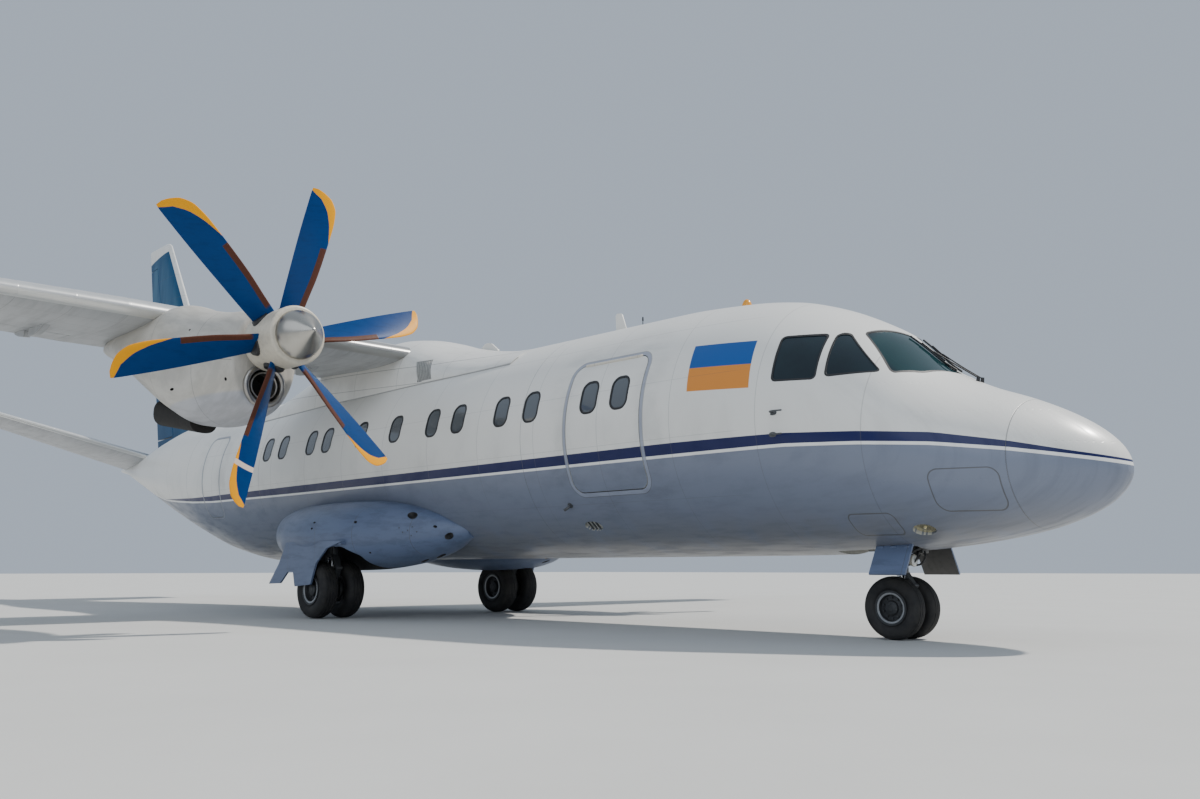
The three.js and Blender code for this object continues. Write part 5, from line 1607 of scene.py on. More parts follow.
for side, name in SIDES:
    x = side * ENGINE_X
    body, hub = f"propeller_{name}", at(x, PROP_STATION, SHAFT_HEIGHT)
    angles = [math.radians(PROP_PHASE + 60 * i) for i in range(6)]
    blades = merged(*[blade_body(hub, angle) for angle in angles])
    finished(f"blades_{name}", blades, body, blade_paint, slot="blue_paint", replaces=[body])
    front = arc_profile((HUB_FRONT + 0.030, HUB_RADIUS - 0.030), (0.030, 0.030), 180, 90, 5)
    back = arc_profile((HUB_BACK - 0.040, HUB_RADIUS - 0.040), (0.040, 0.040), 90, 0, 5)
    low = HUB_RADIUS - 0.004
    groove = [(7.080, HUB_RADIUS), (7.082, low), (7.088, low), (7.090, HUB_RADIUS)]
    drum = ring(x, SHAFT_HEIGHT, [(HUB_FRONT, 0.0), *front, *groove, *back, (HUB_BACK, 0.0)])
    drum = merged(drum, axis_rod(x, SHAFT_HEIGHT, HUB_BACK - 0.01, 7.5397, 0.060))
    finished(f"hub_drum_{name}", drum, body, hub_cream, slot="blue_paint")
    cuffs = [
        rod(hub + blade_way(angle) * 0.27, hub + blade_way(angle) * 0.338, 0.128, 0.104, 40, 0.004)
        for angle in angles
    ]
    finished(f"blade_cuffs_{name}", merged(*cuffs), body, black_trim, slot="tyre_rubber")
    curve = [(SPINNER_TIP, 0.0), (SPINNER_TIP + 0.003, 0.014), (SPINNER_TIP + 0.014, 0.030)]
    curve += [(6.590, 0.083), (6.665, 0.163), (6.735, 0.226), (6.790, 0.256), (6.820, 0.2655)]
    curve += [(HUB_FRONT - GAP, 0.268), (HUB_FRONT - GAP, 0.0)]
    cone = ring(x, SHAFT_HEIGHT, curve, 96)
    finished(f"spinner_cone_{name}", cone, body, cone_metal, slot="bare_metal", replaces=[f"spinner_{name}"])
print("propellers done")

# %% [markdown]
# ## Sponsons and main gear doors
# The main wheels fold into pods on both sides of the belly. The pod is one more tube of rounded
# sections, cut by the wheel well; small openings in it drain and cool the bay. The openings are
# shallow pockets whose floors are painted dark as painted shade, and the well's walls are dark
# metal with painted shade. The gear door is a flat fender that hangs on the outer side of the wheels.

# %% Sponson shapes
# the pod's sections as (station, half width, half height, middle, height of the middle)
SPONSON = [
    (8.000, 0.090, 0.090, 0.860, 1.190), (8.450, 0.380, 0.290, 1.000, 1.170),
    (9.000, 0.590, 0.420, 1.160, 1.155), (9.600, 0.710, 0.478, 1.270, 1.150),
    (10.300, 0.745, 0.492, 1.300, 1.150), (11.000, 0.705, 0.474, 1.270, 1.160),
    (11.700, 0.560, 0.410, 1.160, 1.190), (12.400, 0.340, 0.285, 1.020, 1.230),
    (12.950, 0.090, 0.090, 0.880, 1.275),
]
POD_START, POD_LENGTH, POD_ROUNDNESS = 8.000, 4.950, 2.2


def sponson_tube(side, grow=0.0):
    def place(turn, run):
        station = POD_START + POD_LENGTH * run
        half_width, half_height, middle, height = along(SPONSON, station)
        dx, dz = rounded(turn, half_width + grow, half_height + grow, POD_ROUNDNESS)
        return at(side * middle + dx, station, height + dz)

    return wrapped(80, 96, place)


def deep_in_pod(point):
    """True where a point lies well inside the pod's skin, as the walls of its wheel well do."""
    station = point.y + HALF_LENGTH
    if station < 8.05 or station > 12.8:
        return False
    half_width, half_height, middle, height = along(SPONSON, station)
    over = abs(abs(point.x) - middle) / max(0.01, half_width - 0.012)
    up = abs(point.z - height) / max(0.01, half_height - 0.012)
    return over**POD_ROUNDNESS + up**POD_ROUNDNESS < 1


# prisms cut out of the pod: the inner face's x, the depth, and the (station, height) outline of
# the bay above the wheels, the opening in the pod's side below it, and the recess ahead of it
WHEEL_WELL = [
    (1.170, 0.800, [
        (9.740, -0.1), (10.790, -0.1), (10.790, 0.800), (10.550, 1.190), (9.980, 1.190), (9.740, 0.800),
    ]),
    (1.900, 0.700, [
        (9.740, -0.1), (10.790, -0.1), (10.790, 0.780), (10.640, 0.900), (9.900, 0.985), (9.740, 0.985),
    ]),
    (1.170, 1.430, [(9.290, -0.1), (9.900, -0.1), (9.900, 0.985), (9.520, 0.985), (9.290, 0.860)]),
]


def wheel_well(side):
    prisms = []
    for inner, depth, outline in WHEEL_WELL:
        points = [at(side * inner, station, z) for station, z in outline]
        prisms.append(pushed(points, (side * depth, 0, 0), 0.02))
    return prisms


# holes in the pod as (x, station, height, half length, half width)
POD_HOLES = [
    (1.400, 8.620, 1.385, 0.064, 0.060), (1.112, 8.185, 1.114, 0.044, 0.044),
    (1.241, 8.315, 1.233, 0.020, 0.018), (1.100, 8.740, 0.800, 0.085, 0.034),
    (0.985, 8.530, 0.862, 0.095, 0.042), (1.996, 10.124, 1.318, 0.026, 0.014),
    (2.014, 10.141, 1.235, 0.026, 0.014), (1.836, 9.296, 1.298, 0.022, 0.018),
    (1.707, 9.130, 0.909, 0.016, 0.014),
]
POD_SCREWS = [(8.555, 1.235), (8.600, 1.190), (8.655, 1.165), (8.500, 1.170), (8.700, 1.225), (8.560, 1.120)]


def off_pod(side, x, station, height):
    """A point on the pod's side and the way out of the surface there."""
    half_width, half_height, middle, level = along(SPONSON, station)
    outward = Vector((side * (x - middle) / half_width**2, 0, (height - level) / half_height**2))
    return at(side * x, station, height), outward


def pod_holes(side):
    plugs = []
    for x, station, height, half_along, half_across in POD_HOLES:
        plugs.append(oval_plug(*off_pod(side, x, station, height), half_along, half_across, 0.045, 0.05))
    return plugs


def pod_screws(side):
    """Small round heads on the pod's side, seated on its surface."""
    heads = []
    for station, height in POD_SCREWS:
        half_width, half_height, middle, level = along(SPONSON, station)
        part = abs((height - level) / half_height) ** POD_ROUNDNESS
        x = middle + half_width * (1 - part) ** (1 / POD_ROUNDNESS)
        heads.append(oval_plug(*off_pod(side, x, station, height), 0.009, 0.009, 0.004, 0.003))
    return merged(*heads)


POD_GREY = (0.140, 0.185, 0.300)
belly_grey = Finish("belly_grey")
mottle = belly_grey.noise(2.0, 5.0, 0.6)
film = belly_grey.noise(5.0, 6.0, 0.65, (1.0, 0.4, 2.0))
belly_tone = belly_grey.mix(mottle, POD_GREY, dimmed(POD_GREY, 0.84))
belly_tone = belly_grey.tint(belly_tone, film.above(0.54, 0.10) * 0.55, 0.66)
belly_seams = (belly_grey.y + HALF_LENGTH).lines(0.74, 0.003, 0.30)
belly_grey.put("Base Color", belly_grey.mix(belly_seams * 0.6, belly_tone, SEAM_DARK))
belly_grey.put("Roughness", mottle * 0.15 + film * 0.15 + 0.25)
belly_grey.bump(mottle * 0.5 + film * 0.2 - belly_seams, 0.003, 0.45)

MAIN_DOOR = [
    (9.330, 1.060), (9.760, 0.960), (10.020, 0.760), (10.150, 0.470), (10.580, 0.440), (10.640, 0.640),
    (10.800, 0.640), (11.000, 0.480), (11.330, 0.470), (11.060, 0.760), (10.860, 1.060),
]
for side, name in SIDES:
    pod = combined(
        sponson_tube(side), "DIFFERENCE", skin(6.5, 13.9, 20, GAP), *wheel_well(side), *pod_holes(side),
    )
    # painted shade: the floors of the shallow holes and the walls of the wheel well are painted dark
    pod = painted_where(pod, deep_in_pod, 1)
    finished(
        f"pod_{name}", pod, "airframe", belly_grey, dark_metal_and_shade,
        slot="grey_paint", replaces=[f"sponson_{name}"],
    )
    finished(f"pod_screws_{name}", pod_screws(side), "airframe", dark_metal_and_shade, slot="gear_steel")
    points = [at(side * 1.990, station, z) for station, z in MAIN_DOOR]
    fender = combined(pushed(points, (side * 0.028, 0, 0), 0.012), "DIFFERENCE", sponson_tube(side, 0.002))
    inner, outer = sorted((side * 1.880, side * 2.000))
    for station, height in ((9.420, 1.010), (10.820, 0.980)):
        low, high = at(inner, station, height), at(outer, station + 0.060, height + 0.040)
        fender = merged(fender, block(low, high, 0.008, 0))
    finished(
        f"gear_fender_{name}", fender, "airframe", belly_grey,
        slot="grey_paint", replaces=[f"main_door_{name}"],
    )
print("sponsons done")

# %% [markdown]
# ## Wheels
# A tyre is a closed outline spun about its axle. The outline comes from a squarish oval, cut flat
# at the bead, with grooves round the tread. The rim is spun too: a bright ring round a dark dish
# with bolts in it. All of them stand on the ground at the height that the model gives the axles.

# %% Rubber and wheel metal
MAIN = {"station": 10.260, "x": 1.625, "spacing": 0.420, "axle": 0.40054, "width": 0.262, "rim": 0.200}
NOSE = {"station": 2.230, "x": 0.0, "spacing": 0.300, "axle": 0.30734, "width": 0.180, "rim": 0.158}


def rubber_finish():
    rubber = Finish("tyre_rubber")
    dust = rubber.noise(5.0, 5.0, 0.65)
    grain = rubber.noise(160.0, 3.0, 0.6)
    tone = rubber.mix(dust.above(0.50, 0.16), (0.009, 0.009, 0.010), (0.030, 0.028, 0.026))
    rubber.put("Base Color", tone)
    rubber.put("Roughness", dust * 0.2 + 0.62)
    rubber.bump(grain * 0.3 + dust * 0.3, 0.0012, 0.5)
    return rubber


tyre_rubber = rubber_finish()
rim_grey = coat("rim_grey", (0.33, 0.34, 0.35), 0.35, 0.5, metallic=0.5, grain=40.0)
rim_dark = coat("rim_dark", (0.050, 0.052, 0.055), 0.5, 0.5, metallic=0.4, grain=40.0)
steel_tube = coat("steel_tube", (0.60, 0.61, 0.62), 0.2, 0.25, metallic=1.0, grain=30.0)

# %% Tyres, rims and axles


def tyre_outline(gear):
    """(distance along the axle, radius) round the tyre's section, with four tread grooves."""
    half, bead = gear["width"] / 2, gear["rim"] + GAP
    middle, tall = (bead + gear["axle"]) / 2, (gear["axle"] - bead) / 2
    grooves = [half * part for part in (-0.48, -0.16, 0.16, 0.48)]
    width, depth = half * 0.045, half * 0.055

    def crown(x):
        return middle + tall * (1 - abs(x / half) ** 2.5) ** 0.4

    places = [half * 0.8 * step / 15 for step in range(-15, 16)]
    tread = [(x, crown(x)) for x in places if all(abs(x - groove) > width * 1.6 for groove in grooves)]
    for groove in grooves:
        for edge, drop in ((-width, 0.0), (-width * 0.7, depth), (width * 0.7, depth), (width, 0.0)):
            tread.append((groove + edge, crown(groove + edge) - drop))
    wall = []
    for step in range(1, 10):
        angle = math.radians(40.8 - 9.3 * step)
        x = half * math.cos(angle) ** 0.8
        wall.append((x, middle + tall * math.copysign(abs(math.sin(angle)) ** 0.8, angle)))
    wall.append((half * 0.74, bead))
    left = [(-x, radius) for x, radius in reversed(wall)]
    return [*left, *sorted(tread), *wall]


def rim_outline(gear, outward):
    half, rim = gear["width"] / 2, gear["rim"]
    outline = [
        (-0.60, 0.00), (-0.60, 0.34), (-0.20, 0.44), (-0.20, 0.80), (-0.70, 0.88), (-0.76, 1.00),
        (0.76, 1.00), (0.80, 1.07), (0.86, 1.09), (0.90, 1.07), (0.90, 1.00), (0.86, 0.94), (0.86, 0.91),
        (0.84, 0.84), (0.80, 0.82), (0.52, 0.80), (0.40, 0.76), (0.38, 0.50), (0.44, 0.44), (0.66, 0.40),
        (0.70, 0.34), (0.72, 0.20), (0.76, 0.17), (0.76, 0.00),
    ]
    return [(outward * half * across, rim * reach) for across, reach in outline]


def wheel_rim(gear, x, outward):
    y, z = gear["station"] - HALF_LENGTH, gear["axle"]
    rim = turned(rim_outline(gear, outward), (x, y, z), (x + 1, y, z), 64)
    parts = []
    for step in range(10):
        angle = math.tau * (step + 0.5) / 10
        reach = gear["rim"] * 0.64
        bolt_y, bolt_z = y + reach * math.cos(angle), z + reach * math.sin(angle)
        face = x + outward * gear["width"] / 2 * 0.37
        start, end = (face, bolt_y, bolt_z), (face + outward * 0.016, bolt_y, bolt_z)
        parts.append(rod(start, end, gear["rim"] * 0.075, sides=6, bevel=0.002))
    return merged(rim, *parts)


def bright_ring(gear):
    """Where the rim is bright: its flange, seen from the side."""
    y, z = gear["station"] - HALF_LENGTH, gear["axle"]
    return lambda point: 0.81 < math.hypot(point.y - y, point.z - z) / gear["rim"] < 0.93


def wheel_set(gear, x, axle_radius, name, body, replaced):
    y, z = gear["station"] - HALF_LENGTH, gear["axle"]
    half = gear["spacing"] / 2
    rims = merged(wheel_rim(gear, x - half, -1), wheel_rim(gear, x + half, 1))
    rims = merged(rims, rod((x - half, y, z), (x + half, y, z), axle_radius))
    rims = painted_where(rims, bright_ring(gear), 1)
    finished(f"{name}_rims", rims, body, rim_dark, rim_grey, slot="wheel_metal", replaces=replaced)


def tyre_at(gear, x, name, body, replaced):
    y, z = gear["station"] - HALF_LENGTH, gear["axle"]
    tyre = turned(tyre_outline(gear), (x, y, z), (x + 1, y, z), 72)
    finished(name, tyre, body, tyre_rubber, slot="tyre_rubber", replaces=[replaced])


for side, name in SIDES:
    body = f"main_wheels_{name}"
    wheel_set(MAIN, side * MAIN["x"], 0.0353, f"main_{name}", body, [f"main_hubs_{name}"])
    for place, shift in (("outer", side), ("inner", -side)):
        x = side * MAIN["x"] + shift * MAIN["spacing"] / 2
        tyre_at(MAIN, x, f"{place}_tyre_{name}", body, f"main_tyre_{place}_{name}")
    tyre_at(NOSE, side * NOSE["spacing"] / 2, f"front_tyre_{name}", "nose_wheels", f"nose_tyre_{name}")
wheel_set(NOSE, 0.0, 0.0253, "nose", "nose_wheels", ["nose_hubs"])
print("wheels done")

# %% [markdown]
# ## Gear legs
# A leg is a stack of tubes: a thick outer tube, a bright sliding tube, a stay that takes the drag
# and a pair of hinged links that keep the axle straight. Pipes run down to the brakes. Each pipe is
# a curve with a round section, turned into a mesh.

# %% Pipes and links


def pipe(points, radius):
    """A round tube through the points, as a mesh."""
    curve = bpy.data.curves.new("pipe", "CURVE")
    curve.dimensions = "3D"
    curve.bevel_depth, curve.bevel_resolution, curve.resolution_u = radius, 2, 6
    curve.use_fill_caps = True
    spline = curve.splines.new("BEZIER")
    spline.bezier_points.add(len(points) - 1)
    for knot, point in zip(spline.bezier_points, points):
        knot.co = point
        knot.handle_left_type = knot.handle_right_type = "AUTO"
    holder = bpy.data.objects.new("pipe", curve)
    bpy.context.scene.collection.objects.link(holder)
    bm = bmesh.new()
    bm.from_mesh(holder.evaluated_get(bpy.context.evaluated_depsgraph_get()).to_mesh())
    bpy.data.objects.remove(holder)
    bpy.data.curves.remove(curve)
    return bm


def link(start, end, half_start, half_end, thick):
    """One plate of a torque link: wide at its foot, narrow at the knee, lying across the leg."""
    start, end, across = Vector(start), Vector(end), Vector((1, 0, 0))
    lift = (end - start).normalized().cross(across) * thick / 2
    corners = [
        start - across * half_start, start + across * half_start,
        end + across * half_end, end - across * half_end,
    ]
    return pushed([corner - lift for corner in corners], lift * 2, 0.006)


def collar(x, station, height, radius, tall, bevel=0.004):
    low, high = at(x, station, height - tall / 2), at(x, station, height + tall / 2)
    return rod(low, high, radius, sides=40, bevel=bevel)


# %% Main legs
for side, name in SIDES:
    x, station, axle = side * MAIN["x"], MAIN["station"], MAIN["axle"]
    y = station - HALF_LENGTH
    knee = Vector((x, y - 0.190, 0.700))
    parts = [
        rod((x, y, 0.850), (x, y, 1.1895), 0.086, sides=48, bevel=0.004),
        collar(x, station, 0.868, 0.094, 0.036), collar(x, station, 1.050, 0.093, 0.024),
        rod((x, y, 0.960), (x, y - 0.400, 1.189), 0.032, sides=28, bevel=0.003),
        rod((x - 0.060, y, 0.960), (x + 0.060, y, 0.960), 0.044, sides=28, bevel=0.004),
        rod((x - 0.070, y, axle), (x + 0.070, y, axle), 0.061, sides=40, bevel=0.004),
        collar(x, station, 0.470, 0.068, 0.060), collar(x, station, 0.700, 0.062, 0.012, 0.002),
        link((x, y - 0.060, 0.900), knee, 0.062, 0.040, 0.030),
        link((x, y - 0.050, 0.475), knee, 0.062, 0.040, 0.030),
        rod(knee - Vector((0.050, 0, 0)), knee + Vector((0.050, 0, 0)), 0.028, sides=24, bevel=0.003),
    ]
    finished(
        f"main_leg_frame_{name}", merged(*parts), "airframe", gear_grey,
        slot="gear_steel", replaces=[f"main_leg_{name}"],
    )
    tube = rod((x, y, 0.450), (x, y, 0.851), 0.056, sides=48)
    slider = merged(tube, collar(x, station, 0.842, 0.060, 0.012, 0.002))
    finished(f"main_slider_{name}", slider, "airframe", steel_tube, slot="gear_steel")
    brakes = [
        rod((x + end * 0.072, y, axle), (x + end * 0.122, y, axle), 0.142, sides=40, bevel=0.006)
        for end in (-1, 1)
    ]
    finished(f"brake_packs_{name}", merged(*brakes), "airframe", dark_metal_and_shade, slot="gear_steel")
    lines = []
    for shift in (-1, 1):
        lines.append(pipe([
            (x + shift * 0.050, y - 0.080, 1.180), (x + shift * 0.052, y - 0.090, 0.900),
            (x + shift * 0.080, y - 0.110, 0.720), (x + shift * 0.070, y - 0.085, 0.560),
            (x + shift * 0.094, y - 0.050, 0.500),
        ], 0.008))
        lines.append(pipe([
            (x + shift * 0.088, y + 0.045, 1.180), (x + shift * 0.092, y + 0.050, 0.880),
            (x + shift * 0.075, y + 0.085, 0.640), (x + shift * 0.098, y + 0.050, 0.510),
        ], 0.006))
    finished(f"brake_pipes_{name}", merged(*lines), "airframe", black_trim, slot="gear_steel")

# %% Nose leg
y, axle = NOSE["station"] - HALF_LENGTH, NOSE["axle"]
parts = [
    rod((0, y, 0.700), (0, y, 1.199), 0.068, sides=48, bevel=0.003),
    collar(0, NOSE["station"], 0.722, 0.078, 0.040), collar(0, NOSE["station"], 0.900, 0.076, 0.020),
    rod((-0.219, y, 1.130), (0.219, y, 1.130), 0.040, sides=32, bevel=0.004),
    block((-0.110, y - 0.039, 1.085), (0.110, y + 0.039, 1.199), 0.010),
    rod((0, y, 0.860), (0, y + 0.420, 1.190), 0.030, sides=24, bevel=0.003),
    rod((-0.055, y, 0.862), (0.055, y, 0.862), 0.040, sides=24, bevel=0.003),
    rod((-0.100, y - 0.030, 0.985), (0.100, y - 0.030, 0.985), 0.034, sides=28, bevel=0.004),
    rod((-0.130, y - 0.030, 0.985), (-0.100, y - 0.030, 0.985), 0.024, sides=20, bevel=0.003),
    rod((0.100, y - 0.030, 0.985), (0.130, y - 0.030, 0.985), 0.024, sides=20, bevel=0.003),
]
finished(
    "nose_leg_frame", merged(*parts), "airframe", gear_grey, slot="gear_steel", replaces=["nose_leg"],
)
lines = [
    pipe([(-0.060, y - 0.050, 1.190), (-0.078, y - 0.075, 1.000), (-0.072, y - 0.070, 0.760)], 0.008),
    pipe([(0.060, y - 0.050, 1.190), (0.082, y - 0.070, 1.060), (0.072, y - 0.075, 0.880)], 0.007),
    pipe([(-0.100, y + 0.030, 1.180), (-0.085, y + 0.050, 0.960), (-0.072, y + 0.045, 0.790)], 0.006),
]
for side in (LEFT, RIGHT):
    lines.append(pipe([
        (side * 0.070, y - 0.060, 1.150), (side * 0.150, y - 0.150, 0.960), (side * 0.135, y - 0.130, 0.800),
        (side * 0.072, y - 0.060, 0.745),
    ], 0.010))
    lines.append(pipe([
        (side * 0.090, y - 0.040, 1.090), (side * 0.200, y - 0.100, 0.930), (side * 0.160, y - 0.090, 0.760),
        (side * 0.074, y - 0.020, 0.735),
    ], 0.008))
for start, reach in ((-0.055, 0.235), (-0.020, 0.285), (0.015, 0.250), (0.050, 0.210)):
    lines.append(pipe([
        (start, y - 0.070, 0.905), (start * 1.6, y - reach, 0.850), (start * 2.2, y - reach * 0.92, 0.745),
        (start * 1.4, y - 0.075, 0.725),
    ], 0.009))
finished("nose_leg_pipes", merged(*lines), "airframe", black_trim, slot="gear_steel")
fittings = []
# rods beside the leg as (start, end, radius, sides, bevel): the steering cylinder and its plug, a
# joint with the door's arm, and a stay with its knuckle
NOSE_RODS = [
    ((0.072, -0.085, 0.765), (0.072, 0.120, 0.765), 0.030, 28, 0.004),
    ((0.072, -0.125, 0.765), (0.072, -0.080, 0.765), 0.018, 20, 0.002),
    ((0.060, -0.010, 0.880), (0.110, -0.010, 0.880), 0.026, 24, 0.003),
    ((0.095, -0.010, 0.880), (0.422, -0.060, 0.822), 0.011, 16, 0.0),
    ((0.075, -0.045, 0.800), (0.120, -0.330, 0.905), 0.017, 20, 0.002),
    ((0.052, -0.055, 0.800), (0.098, -0.055, 0.800), 0.026, 24, 0.003),
]
for side in (LEFT, RIGHT):
    for start, end, radius, sides, bevel in NOSE_RODS:
        ends = [(side * x, y + behind, height) for x, behind, height in (start, end)]
        fittings.append(rod(*ends, radius, sides=sides, bevel=bevel))
fittings += [
    block((-0.085, y - 0.125, 0.955), (0.085, y - 0.060, 1.040), 0.012),
    rod(at(-0.125, 2.000, 0.872), at(0.125, 2.000, 0.872), 0.014, sides=18, bevel=0.002),
    block(at(-0.060, 1.945, 0.835), at(0.060, 2.060, 0.895), 0.010),
]
finished("nose_leg_fittings", merged(*fittings), "airframe", dark_metal_and_shade, slot="gear_steel")
knee = Vector((0, y - 0.150, 0.520))
parts = [
    collar(0, NOSE["station"], 0.672, 0.077, 0.055), collar(0, NOSE["station"], 0.388, 0.052, 0.040, 0.003),
    rod((-0.056, y, axle), (0.056, y, axle), 0.047, sides=36, bevel=0.003),
    link((0, y - 0.045, 0.665), knee, 0.050, 0.032, 0.024),
    link((0, y - 0.035, 0.352), knee, 0.050, 0.032, 0.024),
    rod(knee - Vector((0.040, 0, 0)), knee + Vector((0.040, 0, 0)), 0.022, sides=20, bevel=0.002),
    block((-0.019, y - 0.105, axle - 0.018), (0.019, y - 0.01, axle + 0.018), 0.004),
    rod((-0.0455, y - 0.110, axle), (0.0455, y - 0.110, axle), 0.0195, sides=28, bevel=0.002),
]
finished(
    "nose_fork_frame", merged(*parts), "nose_steering", gear_grey,
    slot="gear_steel", replaces=["nose_fork"],
)
slider = rod((0, y, 0.340), (0, y, 0.660), 0.041, sides=40)
finished("nose_slider", slider, "nose_steering", steel_tube, slot="gear_steel")
print("legs done")

# %% [markdown]
# ## Nose gear doors
# Two flat doors hang beside the nose leg on short hinges and stand further out at the bottom. Each
# is a slab between two edges, cut away where it would enter the skin. Its inner face is painted
# dark, as painted shade for the shadowed space under the nose.

# %% Nose gear doors
NOSE_DOOR = {"from": 1.878, "to": 2.262, "top": (0.345, 0.955), "low": (0.545, 0.630), "half": 0.011}


def across_door(x, z):
    """Distance of a point outside the middle plane of a nose gear door."""
    (top_x, top_z), (low_x, low_z) = NOSE_DOOR["top"], NOSE_DOOR["low"]
    length = math.hypot(low_x - top_x, top_z - low_z)
    return ((x - top_x) * (top_z - low_z) + (z - top_z) * (low_x - top_x)) / length


def door_edge(side, point, way):
    (top_x, top_z), (low_x, low_z) = NOSE_DOOR["top"], NOSE_DOOR["low"]
    step = way * NOSE_DOOR["half"] / math.hypot(low_x - top_x, top_z - low_z)
    x, z = point[0] + (top_z - low_z) * step, point[1] + (low_x - top_x) * step
    return at(side * x, NOSE_DOOR["from"], z)


for side, name in SIDES:
    top, low = NOSE_DOOR["top"], NOSE_DOOR["low"]
    points = [door_edge(side, point, way) for point, way in ((top, 1), (top, -1), (low, -1), (low, 1))]
    length = NOSE_DOOR["to"] - NOSE_DOOR["from"]
    panel = combined(pushed(points, (0, length, 0), 0.004), "DIFFERENCE", skin(1.4, 3.2, 16, GAP))
    hinges = []
    for station in (1.930, 2.070, 2.210):
        start, end = at(side * 0.394, station - 0.030, 0.892), at(side * 0.394, station + 0.030, 0.892)
        hinges.append(rod(start, end, 0.012, sides=16, bevel=0.002))
    # painted shade: the faces on the door's inner side are painted dark
    panel = painted_where(
        merged(panel, *hinges), lambda centre: across_door(abs(centre.x), centre.z) < -0.009, 1,
    )
    finished(
        f"nose_door_panel_{name}", panel, "airframe", belly_grey, dark_metal_and_shade,
        slot="grey_paint", replaces=[f"nose_door_{name}"],
    )

# %% [markdown]
# ## Engines
# The engine is one plain block inside each nacelle, and only its drive shows through the openings.
# The model's own mesh is kept for it and gets a dull metal finish.

# %% Engine finish
engine_metal = coat("engine_metal", (0.30, 0.28, 0.25), 0.4, 0.6, metallic=0.9, grain=25.0)
for name in ("engine_left", "engine_right"):
    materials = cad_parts[name].data.materials
    materials.clear()
    materials.append(engine_metal.material)
print("engines done")

# %% [markdown]
# ## Small parts on the forward fuselage
# Wipers, probes, lamps and antennas are small, but they tell the eye how large the aircraft is.
# Each sits on the skin: its foot comes from the section table, and it stands along the way out of
# the surface there.

# %% Wipers
amber_lens = coat("amber_lens", (0.85, 0.36, 0.03), 0.2, 0.1)
lens_glass = coat("lens_glass", (0.72, 0.74, 0.72), 0.12, 0.1)
lamp_bowl = coat("lamp_bowl", (0.80, 0.74, 0.50), 0.22, 0.2, metallic=0.8)


def on_roof(x, station, clear):
    half_width, top, bottom, waist = along(FUSELAGE, station)
    height = waist + (top - waist) * math.sqrt(1 - (x / half_width) ** 2)
    return at(x, station, height + clear)


wipers = []
for side in (LEFT, RIGHT):
    blade = [on_roof(side * (0.130 - 0.080 * i / 4), 1.930 - 0.430 * i / 4, 0.012) for i in range(5)]
    wipers.append(pipe(blade, 0.010))
    spine = [point + Vector((0, 0, 0.018)) for point in blade[1:4]]
    wipers.append(pipe(spine, 0.006))
    foot = on_roof(side * 0.045, 1.300, 0.0)

    def off_foot(back, rise):
        return foot + Vector((0, back, rise))

    arm = [off_foot(-0.01, 0.030), on_roof(side * 0.055, 1.480, 0.060), on_roof(side * 0.088, 1.710, 0.036)]
    wipers.append(pipe(arm, 0.007))
    wipers.append(rod(off_foot(0, -0.010), off_foot(-0.01, 0.045), 0.020, 0.015, 24, 0.003))
    wipers.append(rod(off_foot(0.05, 0.010), off_foot(0.18, 0.045), 0.012, 0.008, 16, 0.002))
finished("wipers", merged(*wipers), "airframe", black_trim, slot="tyre_rubber")

# %% Probes, landing lamp and air outlet
probes = []
for side in (LEFT, RIGHT):
    for station, height in ((2.760, 2.170), (2.770, 1.960)):
        foot, outward = off_skin(side * 1.340, station, height)
        bend = foot + outward * 0.070 + Vector((0, -0.020, 0))
        tip = bend + Vector((0, -0.130, 0))
        probes.append(oval_plug(foot, outward, 0.045, 0.025, 0.004, 0.003))
        probes.append(pipe([foot - outward * 0.005, foot + outward * 0.045, bend, tip], 0.0085))
finished("air_probes", merged(*probes), "airframe", gear_grey, slot="gear_steel")

foot, outward = off_skin(*LAMP_PLACE)
floor_point = foot - outward * 0.036
bowl = oval_plug(floor_point, outward, 0.100, 0.092, 0.0, 0.010)
bulb = rod(floor_point + outward * 0.008, floor_point + outward * 0.024, 0.016, 0.012, 24, 0.003)
finished("landing_lamp", merged(bowl, bulb), "airframe", lamp_bowl, slot="bare_metal")
foot, outward = off_skin(*OUTLET_PLACE)
vanes = [
    oval_plug(foot - outward * 0.024 + Vector((0, shift, 0)), outward, 0.006, 0.064, 0.0, 0.018)
    for shift in (-0.060, 0.0, 0.060)
]
finished("outlet_vanes", merged(*vanes), "airframe", gear_grey, slot="gear_steel")
foot, outward = off_skin(-1.150, 5.800, 1.420)
drain = [foot - outward * 0.005, foot + outward * 0.045, foot + outward * 0.060 + Vector((0, 0.050, -0.020))]
drain = merged(pipe(drain, 0.017), oval_plug(foot, outward, 0.040, 0.034, 0.003, 0.005))
finished("drain_pipe", drain, "airframe", gear_grey, slot="gear_steel")

# %% Beacon and antennas
dome = arc_profile((0.022, 0.0), (0.100, 0.060), 0, 90, 8)
beacon_foot = on_roof(0.0, 4.050, -0.004)
up = Vector((0, 0, 1))
dome = turned([*dome, (0.0, 0.060), (0.0, 0.0)], beacon_foot, beacon_foot + up, 40)
finished("beacon_dome", dome, "airframe", amber_lens, slot="glazing")
base = rod(beacon_foot, beacon_foot + up * 0.018, 0.075, 0.070, 40, 0.003)
finished("beacon_base", base, "airframe", bright_metal, slot="bare_metal")


def blade_antenna(station, foot_length, tip_length, tall, sweep, thick, base_height=None):
    """A thin upright fin, widest at its foot and swept back."""
    foot_height = (on_roof(0.0, station, 0.0).z if base_height is None else base_height) - 0.012
    outline = [(0, 0), (foot_length, 0), (sweep + tip_length, tall), (sweep, tall)]
    points = [at(-thick / 2, station + behind, foot_height + rise) for behind, rise in outline]
    return pushed(points, (thick, 0, 0), min(tip_length, tall) * 0.35, 5)


